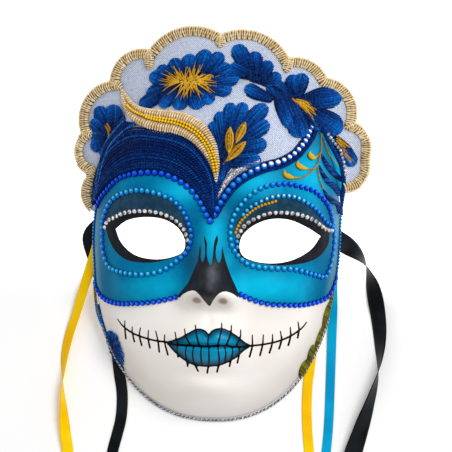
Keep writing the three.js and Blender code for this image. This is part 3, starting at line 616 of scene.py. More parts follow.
LINER_RIGHT = [(72.5, -0.5), (71.5, -4), (71.4, -8.6), (69.6, -13.2), (66, -17.9), (61.1, -20.9),
               (55.1, -22.8), (47.4, -23.9), (41.7, -24.3), (30.4, -23.4), (22.4, -21.4), (18.5, -19.8),
               (15.6, -16.5), (14.6, -12.5), (15, -8)]
LIP_UPPER = [(-26.2, -74.3), (-22.1, -73), (-17.6, -71.2), (-12.3, -68.1), (-8.9, -66.1), (-5.5, -65.3),
             (-2, -66.5), (0.1, -68.5), (2.3, -66.1), (5.7, -64.7), (9.2, -64.7), (13.5, -66.6),
             (18.7, -69.9), (22.1, -72.7), (25.5, -74.5)]
LIP_LOWER = [(-26.2, -74.5), (-23, -78), (-19.4, -81.4), (-15, -84.7), (-9.7, -87.3), (-3.6, -88.2),
             (1.6, -88), (7.7, -86.9), (12.8, -84.5), (17.1, -81.8), (21.4, -77.7), (25.5, -74.7)]
LIP_LINE = [(-25.7, -74.5), (-22.1, -75.4), (-17.6, -75.6), (-8.7, -75.6), (0, -75.7), (6.8, -75.2),
            (12.8, -75.3), (19.6, -75.4), (25.5, -74.7)]
MOUTH_LEFT = [(-58.5, -61.4), (-55.8, -64.7), (-53.5, -66.6), (-49.3, -69.2), (-44.7, -71), (-39.2, -72.5),
              (-32.9, -73.7), (-26.6, -74.1)]
MOUTH_RIGHT = [(59.3, -59), (57, -62.2), (53.3, -65.5), (48.3, -68.7), (42.4, -71.3), (36.5, -72.9),
               (30.6, -74), (24.7, -74.7)]
# Each stitch of the mouth runs from its upper to its lower end.
STITCHES = [
    [(-53.6, -62.2), (-53.7, -66.4), (-53, -73.4)], [(-48.8, -65.7), (-48.6, -69.6), (-47.3, -75)],
    [(-43.3, -66), (-44, -70.7), (-42.5, -77.1)], [(-38.1, -67.4), (-38.3, -72.6), (-37.1, -78.3)],
    [(-33.4, -67.6), (-32, -73.7), (-31.1, -80.6)], [(-27.6, -69.7), (-27.7, -73.9), (-25.6, -82.1)],
    [(26.7, -67.9), (26.8, -74.5), (25.2, -81.5)], [(33.4, -67.6), (33, -73.9), (31.5, -80.5)],
    [(39, -67.2), (38.8, -72.9), (37.2, -78.8)], [(43.7, -65.1), (44.4, -70.6), (43, -76)],
    [(49.6, -62.4), (49.8, -68.2), (48.5, -73.8)], [(54.2, -59.1), (54.8, -64.2), (54.1, -69)],
    [(-21, -67.7), (-20.3, -71.3), (-19, -75)], [(-15.1, -65.5), (-14.3, -69.3), (-11.3, -75.1)],
    [(-8.4, -62.9), (-7.8, -66.9), (-5.5, -75.3)], [(0.3, -68.5), (0, -72), (-0.3, -75.1)],
    [(7.9, -61), (7.9, -65.5), (6, -74.9)], [(13.9, -62.3), (13.7, -67), (11.3, -74.5)],
    [(19.6, -64.9), (19.5, -69.5), (17.5, -74)],
    [(-19.3, -76.1), (-19.6, -79.6), (-19.1, -83.1)], [(-13.5, -76.2), (-14.1, -80.2), (-13, -88.8)],
    [(-8.9, -76.1), (-9.6, -80.9), (-9.1, -85.8), (-6.5, -91.6)], [(-4.1, -76.1), (-4.4, -81.5), (-4, -87.8)],
    [(0.6, -76), (0.6, -84), (-0.9, -92.5)], [(5.9, -75.8), (6.7, -80.2), (6.7, -85.6), (5.2, -91.7)],
    [(10.1, -75.6), (11, -79.2), (10.3, -84.8)], [(14.4, -75.5), (15.2, -78.2), (13.9, -83.6), (13, -87.8)],
    [(18.6, -75.4), (19.2, -78.1), (17.8, -85.5)]]
NOSTRILS = [(-7.2, -47.3), (9, -47.3)]

under_nose = curve_through(NOSE_UNDER, 0.7)
nose_patch = np.vstack([curve_through(NOSE_SIDE, 0.7), curve_through(NOSE_TOP, 0.5), under_nose[::-1]])
beyond_face = [(95, -29), (95, 130), (-95, 130), (-95, -36)]
band_patch = np.vstack([beyond_face, CHEEK_LEFT, under_nose, CHEEK_RIGHT])
stones_left, stones_right = curve_through(STONES_LEFT, 1.0), curve_through(STONES_RIGHT, 1.0)
liner_patches = [np.vstack([stones_left, curve_through(LINER_LEFT, 1.0)[::-1]]),
                 np.vstack([stones_right, curve_through(LINER_RIGHT, 1.0)])]
lid_patches = [np.vstack([curve_through(RING_LEFT[:13], 1.0), stones_left[::-1]]),
               np.vstack([curve_through([(14, -5), (15, 1.5)] + ARC_RIGHT, 1.0), stones_right[::-1]])]
lip_patch = np.vstack([curve_through(LIP_UPPER, 0.8), curve_through(LIP_LOWER, 0.8)[::-1]])
STITCH_HALF, LIP_EDGE_HALF, LIP_LINE_HALF = 0.62, 0.5, 0.75  # half widths of the ink lines
INK = [([MOUTH_LEFT, MOUTH_RIGHT, *STITCHES], STITCH_HALF), ([LIP_UPPER, LIP_LOWER], LIP_EDGE_HALF),
       ([LIP_LINE], LIP_LINE_HALF)]
ink_lines = [(curve_through(line, 0.6), half) for lines, half in INK for line in lines]
print("ink lines:", len(ink_lines))

# %% [markdown]
# The face is a papier-mache shell: paper and glue are laid over a head form, dried, pulled off and
# painted. It is one skin outside, one inside, and a wall where they meet at the rim and the eyes.
# The paint is kept on the points of the outer skin, so they lie closer together along the ink
# lines and the edges of the paint.

# %% The outer skin
LEFT_EYE = [(-61, -5.2), (-53.8, 0.2), (-41.7, 2.7), (-29.7, 1.5), (-21.2, -3.4), (-16.8, -10.8),
            (-17.3, -17.3), (-24.7, -21.4), (-35.9, -23.1), (-48.1, -20.7), (-57.1, -13.4), (-61, -5.2)]
RIGHT_EYE = [(66.4, -5.3), (58.1, -0.2), (47, 4.1), (35.3, 4), (24.9, -0.5), (18.4, -7.2), (17.3, -14.3),
             (19.7, -19.2), (27.5, -22.3), (38.6, -23), (50.1, -20.5), (60.8, -13.7), (66.4, -5.3)]
EYE_HOLES = [curve_through(outline, 1.0)[:-1] for outline in (LEFT_EYE, RIGHT_EYE)]


def face_outline(grow=0.0, count=330, start=0.0, end=2 * math.pi):
    """The rim of the face, grown by a distance, between two turns of its curve."""
    turn = np.linspace(start, end, count, endpoint=end - start < 6)
    c, s = np.cos(turn), np.sin(turn)
    length = np.where(s < 0, CHIN, FOREHEAD) + grow
    across, along = (np.sign(v) * np.abs(v) ** (2 / SQUARENESS) for v in (c, s))
    return np.column_stack([(HALF_WIDTH + grow) * across, length * along])


def apart(points, others, gap):
    """The points that are not closer than a gap to any of the others."""
    tree = KDTree(len(others))
    for k, p in enumerate(others):
        tree.insert((p[0], p[1], 0), k)
    tree.balance()
    return points[[tree.find((p[0], p[1], 0))[2] > gap for p in points]]


def thinned(points, gap):
    """The points in their order, without those that come too close to an earlier one."""
    kept, cells = [], {}
    for p in points:
        cell = (math.floor(p[0] / gap), math.floor(p[1] / gap))
        near = [q for i in (-1, 0, 1) for j in (-1, 0, 1) for q in cells.get((cell[0] + i, cell[1] + j), [])]
        if all((p[0] - q[0]) ** 2 + (p[1] - q[1]) ** 2 > gap ** 2 for q in near):
            kept.append(p)
            cells.setdefault(cell, []).append(p)
    return np.array(kept)


FACE_PITCH, MOUTH_PITCH, INNER_PITCH = 1.4, 0.8, 2.6  # between the points of a skin, in millimetres
ROW_GAP = 0.24  # the least distance of two points along the paint
PATTERN_REACH = 0.89  # nearer to the rim than this share, the points lie in rings
EDGE_DROP, EDGE_WIDTH = 0.5, 0.9  # of the rounded edges of the eye holes


def off_the_eyes(points):
    """The points that don't lie over an eye hole."""
    return points[~np.any([inside(points, hole) for hole in EYE_HOLES], axis=0)]


print("eye holes:", [len(hole) for hole in EYE_HOLES], "points round them")

# %% Points of the outer skin
rim = face_outline()
rim_rings = [rim * share for share in (0.998, 0.994, 0.987, 0.975, 0.96, 0.94, 0.92, 0.9)]
eye_rings = [beside(hole, side, True) for hole in EYE_HOLES for side in (-0.35, -0.8)]
rows = []
for distance in (0, 1, -1, 2.2, -2.2):
    for line, half in ink_lines:
        distance *= half  # the rows draw in quickly, so only the first few lines get some at their sides
        rows.append(beside(line, distance))
for edge in (nose_patch, lip_patch, *liner_patches, *lid_patches):
    rows += [beside(edge, side, True) for side in (0.0, 0.45, -0.45)]
rows = thinned(np.vstack(rows), ROW_GAP)
rows = off_the_eyes(rows[reach(*rows.T) < PATTERN_REACH])
rows = apart(rows, np.vstack([*EYE_HOLES, *eye_rings]), 0.3)
mouth_field = hexagons(np.array([(-29, -90), (29, -90), (29, -61), (-29, -61)]), MOUTH_PITCH)
field = hexagons(rim * PATTERN_REACH, FACE_PITCH)
field = off_the_eyes(np.vstack([apart(field, mouth_field, 0.9), mouth_field]))
field = apart(field, np.vstack([rows, *EYE_HOLES, *eye_rings]), 0.5)
outer_flat, outer_faces = filled(rim, EYE_HOLES, [*rim_rings, *eye_rings, rows, field])
outer = at_height(outer_flat, face_height)
for hole in EYE_HOLES:
    outer[:, 2] -= EDGE_DROP * np.clip(1 - distance_to(outer, hole, True) / EDGE_WIDTH, 0, 1) ** 2
print("outer skin:", len(outer), "points,", len(outer_faces), "triangles")

# %% [markdown]
# A Solidify modifier could give the shell its wall. The inside comes from the same formula instead,
# without the lips, because the inside of a paper shell is smoother than its outside.

# %% The inner skin and the walls
def inner_height(x, y):
    """The outside moved in by the wall, never under the rim."""
    dx, dy = slopes(x, y, False)
    stretch = np.minimum(np.sqrt(1 + dx ** 2 + dy ** 2), 3)
    return np.maximum(face_height(x, y, False) - WALL * stretch, seat(x, y))


inner_rim = face_outline(-WALL)
inner_rings = [inner_rim * share for share in (0.99, 0.975, 0.955)]
inner_field = apart(hexagons(inner_rim * 0.94, INNER_PITCH), np.vstack(EYE_HOLES), 1.2)
inner_flat, inner_faces = filled(inner_rim, EYE_HOLES, [*inner_rings, off_the_eyes(inner_field)])
inner = at_height(inner_flat, inner_height)
walls = walls_between([rim, *EYE_HOLES], len(outer))
print("inner skin:", len(inner), "points, and", len(walls), "wall faces")

# %% [markdown]
# Each point of the skin stores how far inside an area of paint it lies, in millimetres. The shader
# turns that depth into a crisp edge, a soft edge or a thin line, whatever the paint did. A picture
# could be wrapped on instead, but it would need a UV map and an image file.

# %% Depths in the paint
FAR_OUTSIDE = -99.0  # the depth of a point that has nothing of a paint
# Painted light and painted shade on the cyan: how much, the middle of the spot, and its half width and
# height.
PAINTED_LIGHT_SPOTS = [(1.15, 30, -38, 26, 11), (0.8, 24, 27, 22, 9), (0.75, -18, 20, 14, 8), (0.45, 12, -24, 8, 14),
           (0.6, -34, -41, 18, 9), (0.75, 2, -6, 8, 16), (0.75, 58, 34, 16, 20)]
PAINTED_SHADE_SPOTS = [(1.0, 15, 2, 5, 12), (0.7, 20, 10, 8, 5), (0.6, -66, 4, 7, 14), (0.9, -12, -24, 6, 12),
          (0.5, 17, -22, 5, 5), (0.5, 68, -20, 7, 16), (0.5, -70, -26, 6, 14)]


def depth_in(points, patch):
    """How far inside a closed area the points are: negative outside."""
    return distance_to(points, patch, True) * np.where(inside(points, patch), 1, -1)


def ink_depth(points):
    """How far inside an ink line the points are. A line gets thinner towards its free end."""
    best = np.full(len(points), -9.0)
    for line, half in ink_lines:
        low, high = line.min(0) - 3, line.max(0) + 3
        near = np.flatnonzero(((points[:, :2] > low) & (points[:, :2] < high)).all(1))
        end = np.linalg.norm(points[near, :2] - line[0, :2], axis=1)
        thin = half * (0.6 + 0.4 * np.clip(end / 9, 0, 1)) if half == STITCH_HALF else half
        best[near] = np.maximum(best[near], thin - distance_to(points[near], line))
    return best


out_x, out_y = outer[:, 0], outer[:, 1]
# The painted shade at the rim is held back at the upper right and at the bottom of the chin.
rim_shade_shifts = 0.06 * ease(out_x, 20, 50) * ease(out_y, 14, 30), 0.04 * ease(-out_y, 90, 110)
# The nostril value and the last four say where light and shade are painted: shade in and round the nostrils
# and towards the rim, a reflection near the rim, lighter and darker spots on the cyan, and a highlight on the
# nose.
areas = {
    "band": depth_in(outer, band_patch),
    "nose": depth_in(outer, nose_patch),
    "liner": np.max([depth_in(outer, patch) for patch in liner_patches], 0),
    "lid": np.max([depth_in(outer, patch) for patch in lid_patches], 0),
    "lips": depth_in(outer, lip_patch),
    "ink": ink_depth(outer),
    "nostril": np.max([1 - np.hypot((out_x - x) / 4.0, (out_y - y) / 2.7) for x, y in NOSTRILS], 0),
    "rim": reach(out_x, out_y) - rim_shade_shifts[0] - rim_shade_shifts[1],
    "painted_light": np.max([share * hill(out_x, out_y, *spot) for share, *spot in PAINTED_LIGHT_SPOTS], 0),
    "shade": np.max([share * hill(out_x, out_y, *spot) for share, *spot in PAINTED_SHADE_SPOTS], 0),
    "nose_highlight": hill(out_x, out_y, 2.2, -31.5, 3.4, 8),
}
print("areas:", {name: int((value > 0).sum()) for name, value in areas.items()})

# %% [markdown]
# White goes on first, then cyan in lighter and darker clouds, with painted light and shade among them, then
# charcoal, and the ink last. The shader mixes its colours in the same order, so that each one covers what
# lies under it.

# %% Face paint
def face_paint():
    """White, cyan and charcoal brushed on one after the other, and ink on top."""
    finish = Finish("face paint", Roughness=0.5, Specular_IOR_Level=0.03)
    area = {name: finish.attribute(name) for name in areas}
    cloud = finish.noise(30, 4).step(0.25, 0.75)
    brush = finish.noise(260, 3).step(0.3, 0.7)
    rim = area["rim"]
    colour = finish.mix(cloud, paint(249, 241, 234), paint(255, 251, 246))
    # Painted shade on the white towards the rim of the face.
    colour = finish.mix(rim.step(0.82, 1.0) * 0.3, colour, paint(190, 182, 178))
    # Painted light on the cyan in its lighter spots, over clouds of random tone and brush marks.
    lit = area["painted_light"] + (cloud - 0.5) * 0.35 + (brush - 0.5) * 0.08
    cyan = finish.mix(lit, paint(0, 112, 158), paint(8, 192, 232))
    # Painted shade on the cyan in its darker spots.
    cyan = finish.mix(area["shade"] * 0.7, cyan, paint(0, 74, 108))
    # Painted shade on the cyan where the face turns away towards its rim, and a greyish painted reflection of
    # the white surroundings close to the rim.
    cyan = finish.mix(rim.step(0.80, 0.93) * 0.8, cyan, paint(0, 104, 144))
    cyan = finish.mix(rim.step(0.93, 0.985) * 0.8, cyan, paint(92, 146, 168))
    colour = finish.mix(area["band"].step(-0.15, 0.15), colour, cyan)
    slate = finish.mix(brush * 0.5 + cloud * 0.5, paint(18, 50, 72), paint(46, 82, 106))
    colour = finish.mix(area["lid"].step(-0.2, 0.5), colour, slate)
    charcoal = finish.mix(brush * 0.4 + cloud * 0.6, paint(20, 22, 26), paint(40, 42, 48))
    # A painted highlight on the bridge of the nose.
    charcoal = finish.mix(area["nose_highlight"] * (0.6 + 0.4 * brush), charcoal, paint(92, 95, 103))
    dark = area["nose"].step(-0.1, 0.1)
    dark = dark.math("MAXIMUM", dark, area["liner"].step(-0.12, 0.12))
    colour = finish.mix(dark, colour, charcoal)
    # Painted shade: a soft ring round the nostrils, darker in the nostrils themselves.
    colour = finish.mix(area["nostril"].step(-1.3, 0.1) * 0.35 * (1 - dark), colour, paint(206, 190, 176))
    colour = finish.mix(area["nostril"].step(0.0, 0.6) * 0.8, colour, paint(138, 118, 102))
    # The lips are lighter towards their middle: a painted highlight.
    lip_light = area["lips"].step(0.0, 5.0) * (0.5 + 0.5 * cloud)
    lip_paint = finish.mix(lip_light, paint(0, 54, 86), paint(0, 152, 196))
    colour = finish.mix(area["lips"].step(-0.1, 0.1), colour, lip_paint)
    finish.feed("Base Color", finish.mix(area["ink"].step(-0.1, 0.1), colour, paint(12, 12, 14)))
    gloss = area["lips"].step(0.0, 0.4)
    satin_shine = area["band"].step(-0.15, 0.15) * 0.16
    finish.feed("Roughness", (0.56 - satin_shine) - gloss * 0.2)
    finish.feed("Coat Weight", gloss * 0.12)
    finish.bump(finish.noise(900, 3) * 0.6 + brush * 0.4, 0.00005, 0.5)
    return finish


paint_of_face = face_paint()
count = len(outer)
faces = [*outer_faces, *(inner_faces[:, ::-1] + count), *walls]
face = add_piece("painted_face", np.vstack([outer, inner]), faces, paint_of_face, attributes={
    name: np.concatenate([value, np.full(len(inner), 0.8 if name == "rim" else FAR_OUTSIDE)])
    for name, value in areas.items()})
keep(face, "face_paint", "face_shell")
print("face:", len(face.data.polygons), "faces")

# %% [markdown]
# Behind the forehead stands a crest: a stiff board cut in scallops, covered with woven silver
# cloth that runs down over the forehead to the row of beads on the brow. The weave is two waves
# that cross in the colour and the bump, because its threads are too fine to be worth a mesh.

# %% The crest board
SCALLOP_POINTS = [(-76.4, 3.5), (-80.5, 28.2), (-86.7, 54), (-68.8, 87.2), (-44.3, 107.2), (0.1, 118.2),
                  (42, 105), (65.4, 93.8), (83.9, 66.5), (94.2, 44.6), (78.9, 22)]
SCALLOP_BULGES = [6.8, 7.9, 8.9, 7.4, 9.2, 8.8, 4.5, 7.4, 4.8, 6.2]
BROW_LEFT = [(-73.9, 8.7), (-71.9, 12.9), (-68.6, 17.1), (-64.1, 21.9), (-59, 26.2), (-52.6, 28.5),
             (-46, 29.7), (-38.9, 30.3), (-30.6, 29.5), (-22.1, 26.1), (-14.3, 21), (-8.1, 13.8),
             (-3.7, 6.2), (-0.9, 1.4)]
BROW_RIGHT = [(-0.9, 1.4), (3.1, 9.9), (6.9, 16.7), (11.2, 23), (17.2, 28.7), (24, 33.2), (31.5, 36.7),
              (38.8, 38.9), (44.3, 41.6), (49.3, 45.5), (52.5, 50), (55.5, 55), (57.5, 61)]


def scallops(inset, spacing=1.5):
    """The scalloped edge as round arcs, from the left ear over the top to the right ear."""
    path = []
    for start, end, bulge in zip(SCALLOP_POINTS, SCALLOP_POINTS[1:], SCALLOP_BULGES):
        start, end = np.array(start), np.array(end)
        chord = end - start
        half = np.linalg.norm(chord) / 2
        radius = (half ** 2 + bulge ** 2) / (2 * bulge)
        centre = (start + end) / 2 + np.array([chord[1], -chord[0]]) / (2 * half) * (radius - bulge)
        first = math.atan2(*(start - centre)[::-1])
        turn = (math.atan2(*(end - centre)[::-1]) - first) % (2 * math.pi) - 2 * math.pi
        angles = first + turn * np.linspace(0, 1, max(4, round(-turn * radius / spacing)) + 1)
        arc = centre + radius * np.column_stack([np.cos(angles), np.sin(angles)])
        path.append(arc[1 if path else 0:])
    return beside(np.vstack(path), -inset)


BOARD_INSET, CLOTH_INSET = 1.6, 1.2  # how far each stays inside the braid
BOARD_TOP, BOARD_BOTTOM = -0.3, -2.9  # from the surface that the headdress shares with the rim
BOARD_OVERLAP = 7  # how far the board reaches in under the forehead
CLOTH_LIFT, BEADS_TO_CLOTH = 0.75, 2.3
board_outline = np.vstack([scallops(BOARD_INSET), face_outline(-BOARD_OVERLAP, 90, 0.3, math.pi - 0.06)])
board_paper = speckled("board", 900, 4, paint(150, 150, 160), paint(186, 186, 196), Roughness=0.9)
points, faces = slab(board_outline[::-1], lambda x, y: seat(x, y) + BOARD_TOP,
                     lambda x, y: seat(x, y) + BOARD_BOTTOM)
keep(add_piece("stiff_board", points, faces, board_paper, smooth=False), "board", "crest_board")

print("board:", len(points), "points")

# %% The silver cloth
brow = np.vstack([curve_through(BROW_LEFT, 1.5)[:-1], curve_through(BROW_RIGHT, 1.5)])
TEMPLE_EDGE = [(61, 64), (66, 63), (71, 58), (75.5, 51.5), (78, 44), (79, 34)]
cloth_outline = np.vstack([beside(brow, BEADS_TO_CLOTH), curve_through(TEMPLE_EDGE, 1.5),
                           scallops(CLOTH_INSET)[::-1]])
flat, triangles = filled(cloth_outline, extra=[hexagons(cloth_outline, 2.2, 0.8)])
cloth_points = laid(flat, CLOTH_LIFT)
silver = Finish("silver cloth", Roughness=0.5, Metallic=0.2)
x_here, y_here = silver.axes()
twill = (x_here + y_here * 0.8) * 6600
cross = (y_here - x_here * 0.9) * 5300
weave = (twill.math("SINE", twill) + cross.math("SINE", cross)) * 0.3 + silver.noise(1300, 1)
silver.feed("Base Color", silver.mix(weave.step(0.2, 0.8), paint(136, 152, 188), paint(232, 238, 248)))
silver.bump(weave, 0.0002, 0.8)
cloth = add_piece("silver_cloth", cloth_points, triangles, silver)
corner = cloth_points[triangles]
twice_areas = np.linalg.norm(np.cross(corner[:, 1] - corner[:, 0], corner[:, 2] - corner[:, 0]), axis=1)
keep(cloth, "silver_cloth", "headdress_cloth")

# %% [markdown]
# Beads, stones and threads are each one small shape repeated many times. A Geometry Nodes tree
# repeats it along lines: one tree sets beads at an even pitch and stands each one upright on the
# face, the other draws a thread of any thickness along every line.

# %% A tree for strings of beads
def new_tree(name, inputs):
    """An empty Geometry Nodes tree, its graph, and its inputs as sockets by name."""
    tree = bpy.data.node_groups.new(name, "GeometryNodeTree")
    for label, kind in inputs.items():
        tree.interface.new_socket(label, in_out="INPUT", socket_type="NodeSocket" + kind)
    tree.interface.new_socket("Made", in_out="OUTPUT", socket_type="NodeSocketGeometry")
    graph = Graph(tree)
    entry = tree.nodes.new("NodeGroupInput")
    return graph, {label: Socket(graph, entry.outputs[label]) for label in inputs}


def close_tree(graph, made, finish):
    """The finish and the way out of a tree."""
    made = graph.node("GeometryNodeSetMaterial", None, {"Geometry": made, "Material": finish})
    end = graph.tree.nodes.new("NodeGroupOutput")
    graph.tree.links.new(made.link, end.inputs["Made"])
    return graph.tree


def named(graph, name, kind="FLOAT"):
    """A value that the points of the line bring with them."""
    return graph.node("GeometryNodeInputNamedAttribute", {"data_type": kind}, {"Name": name}, "Attribute")


def stored(graph, shape, name, value, domain="POINT"):
    """The same shape with a value kept on it for its finish."""
    settings = {"data_type": "FLOAT", "domain": domain}
    values = {"Geometry": shape, "Name": name, "Value": value}
    return graph.node("GeometryNodeStoreNamedAttribute", settings, values)


def bead_tree(name, faceted):
    """Beads or cut stones at an even pitch along lines whose points know which way is up."""
    graph, given = new_tree(name, {"Line": "Geometry", "Pitch": "Float", "Width": "Float",
                                   "Height": "Float", "Finish": "Material"})
    if faceted:
        sizes = {"Vertices": 10, "Side Segments": 2, "Radius Top": 0.45, "Radius Bottom": 1.0, "Depth": 1.0}
        single = graph.node("GeometryNodeMeshCone", {"fill_type": "NGON"}, sizes, "Mesh")
    else:
        sizes = {"Segments": 12, "Rings": 8, "Radius": 1.0}
        ball = graph.node("GeometryNodeMeshUVSphere", None, sizes, "Mesh")
        x, y, z = graph.parts(graph.node("GeometryNodeInputPosition"))
        flat_back = graph.node("ShaderNodeCombineXYZ", None, (x, y, z.math("MAXIMUM", z, -0.15)))
        single = graph.node("GeometryNodeSetPosition", None, {"Geometry": ball, "Position": flat_back})
    _, y, z = graph.parts(graph.node("GeometryNodeInputPosition"))
    single = stored(graph, single, "crown", z)
    single = stored(graph, single, "upper", y)
    line = graph.node("GeometryNodeMeshToCurve", None, {"Mesh": given["Line"]})
    spaced = graph.node("GeometryNodeResampleCurve", {"mode": "LENGTH"},
                        {"Curve": line, "Length": given["Pitch"]})
    upright_turn = graph.node("FunctionNodeAlignRotationToVector", {"axis": "Z"},
                              {"Vector": named(graph, "up", "FLOAT_VECTOR")})
    size = graph.node("ShaderNodeCombineXYZ", None,
                      (given["Width"] * 0.5, given["Width"] * 0.5, given["Height"]))
    set_out = graph.node("GeometryNodeInstanceOnPoints", None, {
        "Points": spaced, "Instance": single, "Rotation": upright_turn, "Scale": size})
    luck = graph.node("FunctionNodeRandomValue", {"data_type": "FLOAT"}, {"Seed": 4}, 1)
    made = graph.node("GeometryNodeRealizeInstances", None,
                      {"Geometry": stored(graph, set_out, "shade", luck, "INSTANCE")})
    if faceted:
        per_face = graph.node("FunctionNodeRandomValue", {"data_type": "FLOAT"}, {"Seed": 7}, 1)
        made = stored(graph, made, "facet", per_face, "FACE")
    made = graph.node("GeometryNodeSetShadeSmooth", None, {"Geometry": made, "Shade Smooth": not faceted})
    return close_tree(graph, made, given["Finish"])


BEADS, STONES = bead_tree("string of beads", False), bead_tree("string of stones", True)
print("trees:", BEADS.name, "and", STONES.name)

# %% A tree for threads
def thread_tree():
    """A round thread along every line. Each point of a line holds the thickness there."""
    graph, given = new_tree("threads", {"Lines": "Geometry", "Sides": "Int", "Finish": "Material"})
    line = graph.node("GeometryNodeMeshToCurve", None, {"Mesh": given["Lines"]})
    gone = graph.node("GeometryNodeSplineParameter", output="Length")
    line = stored(graph, line, "along", gone)
    thick = named(graph, "thickness") * 0.5
    line = graph.node("GeometryNodeSetCurveRadius", None, {"Curve": line, "Radius": thick})
    ring = graph.node("GeometryNodeCurvePrimitiveCircle", {"mode": "RADIUS"},
                      {"Resolution": given["Sides"], "Radius": 1.0})
    turn = graph.node("GeometryNodeSplineParameter", output="Factor")
    ring = stored(graph, ring, "around", turn)
    made = graph.node("GeometryNodeCurveToMesh", None, {
        "Curve": line, "Profile Curve": ring, "Scale": named(graph, "radius"), "Fill Caps": True})
    made = graph.node("GeometryNodeSetShadeSmooth", None, {"Geometry": made, "Shade Smooth": True})
    return close_tree(graph, made, given["Finish"])


THREADS = thread_tree()


def grown(name, lines, tree, finish, attributes, closed=False, **settings):
    """The piece that a tree grows on lines in millimetres. Attributes have a value for each point."""
    edges, start = [], 0
    for line in lines:
        count = len(line)
        edges += [(start + k, start + k + 1) for k in range(count - 1)]
        edges += [(start + count - 1, start)] if closed else []
        start += count
    piece = new_object(name, np.vstack(lines), edges, [], attributes)
    grow = piece.modifiers.new("grow", "NODES")
    grow.node_group = tree
    settings["Finish"] = finish.material
    for socket in tree.interface.items_tree:
        if socket.name in settings:
            grow[socket.identifier] = settings[socket.name]
    graph = bpy.context.evaluated_depsgraph_get()
    result = bpy.data.meshes.new_from_object(piece.evaluated_get(graph), preserve_all_data_layers=True,
                                             depsgraph=graph)
    piece.modifiers.remove(grow)
    piece.data = result
    print(name, "has", len(result.polygons), "faces")
    return piece


print("tree:", THREADS.name)

# %% [markdown]
# Round glass beads follow the brow, the eyes and the cheeks. A bead is painted with shade at its edge and a
# highlight on its crown, and round the eyes the blue shifts between royal and teal.

# %% Bead and stone finishes
glass = Finish("glass beads", Roughness=0.15, Coat_Weight=0.05, Specular_IOR_Level=0.06)
tint, pale = glass.attribute("tint"), glass.attribute("pale")
crown = glass.attribute("crown")


def by_tint(royal, azure, teal):
    """The colour of a bead between three blues, by its tint."""
    stops = [(0.0, paint(*royal)), (1.0, paint(*teal)), (0.5, paint(*azure))]
    return glass.node("ShaderNodeValToRGB", {"stops": stops}, {"Fac": tint}, "Color")


# Painted shade at the edge of each bead, its body colour on its crown.
colour = glass.mix(crown.step(0.12, 0.76), by_tint((0, 16, 98), (0, 46, 130), (0, 60, 116)),
                   by_tint((0, 62, 216), (0, 108, 214), (0, 134, 206)))
upper = glass.attribute("upper")
# A painted highlight on the upper part of the crown.
bead_highlight = (crown + upper * 0.35).step(0.82, 1.05) * 0.7
colour = glass.mix(bead_highlight, colour, by_tint((50, 130, 250), (66, 190, 250), (96, 228, 250)))
# Beads that are pale get a white painted highlight on the upper crown.
white_highlight = (crown * 0.75 + upper * 0.4 + pale * 0.3).step(0.78, 1.02) * pale.step(0.0, 0.4)
glass.feed("Base Color", glass.mix(white_highlight, colour, paint(252, 252, 254)))

stone = Finish("cut stones", Roughness=0.12, Coat_Weight=1.0, Specular_IOR_Level=0.5)
# Grey and white facets and a grey table are painted reflections of a cut stone, and the stone is dark at its
# foot.
facet = stone.attribute("facet")
rise = stone.attribute("crown")
body = stone.mix(facet.step(0.45, 0.95), paint(246, 246, 246), paint(150, 150, 156))
body = stone.mix(rise.step(0.9, 0.98) * facet.step(0.2, 0.5), body, paint(128, 128, 136))
stone.feed("Base Color", stone.mix(rise.step(0.05, 0.55), paint(40, 42, 48), body))


def golden(name, dark, light):
    """Gilt glass, with painted shade at the edge of a bead and a painted highlight on its crown."""
    finish = Finish(name, Roughness=0.2, Coat_Weight=0.15, Specular_IOR_Level=0.2)
    finish.feed("Base Color", finish.mix(finish.attribute("crown").step(0.3, 0.75), dark, light))
    return finish


amber = golden("golden beads", paint(138, 92, 0), paint(248, 200, 20))
bronze = golden("bronze beads", paint(66, 50, 6), paint(204, 156, 26))
print("finishes for beads and stones ready")

# %% [markdown]
# A row of beads is strung on thread and then glued down, so its beads are of one size and touch.
# Each string below is one line of marks and a pitch, and its tint changes where it does in the photo.

# %% One string of beads
RING_RIGHT = [(12, -13), (11, -6.5), (11.5, 0), (14, 7), (18.5, 13.5), (24, 19), (31, 23.5),
              (38.5, 25.5), (46.5, 26), (54, 24.5), (61, 22.5), (65.5, 19), (69, 15), (71, 10.5),
              (72.5, 5.5), (73.5, -1), (74, -7.5), (73.5, -15), (72.5, -21.5), (71, -27.5), (69, -30.5),
              (64, -29.5), (58, -28), (51, -26.5), (44, -26.5), (36.5, -26.5), (29, -26), (22, -24),
              (16, -19)]


def string(name, marks, pitch, width, height, finish, slot, nodes=(), lift=0.05, tint=0.0, pale=0.0,
           closed=False, tree=BEADS):
    """One string of beads on the face. Tint and pale may be numbers or functions of x and y."""
    flat = curve_through(marks, 1.0, closed)
    attributes = {"up": upright(flat)}
    for key, given in (("tint", tint), ("pale", pale)):
        attributes[key] = given(*flat.T) if callable(given) else np.full(len(flat), float(given))
    piece = grown(name, [laid(flat, lift)], tree, finish, attributes, closed, Pitch=pitch * MM,
                  Width=width * MM, Height=height * MM)
    return keep(piece, slot, *nodes)


print("marks of the right eye ring:", len(RING_RIGHT))

# %% Tints along the strings
def deeper(x, y):
    """Royal at the left, azure towards the right brow."""
    return 0.2 * ease(x, -34, -8) + 0.25 * ease(x, 0, 18)


def whiter(x, y):
    """Where beads show a white painted highlight: from over the right eye on."""
    return ease(x, 12, 40)


def left_ring_tint(x, y):
    """Half way to teal beside the eye, teal above and under it."""
    return 0.45 + 0.55 * ease(np.abs(y + 7), 10, 24) * (1 - 0.7 * ease(y, 0, 9) * ease(x, -34, -22))


def right_ring_tint(x, y):
    """Teal near the nose, royal towards the temple."""
    return np.clip(1.0 - 0.85 * ease(x, 24, 44) * ease(y, 0, 20) - 0.45 * ease(x, 42, 62), 0, 1)


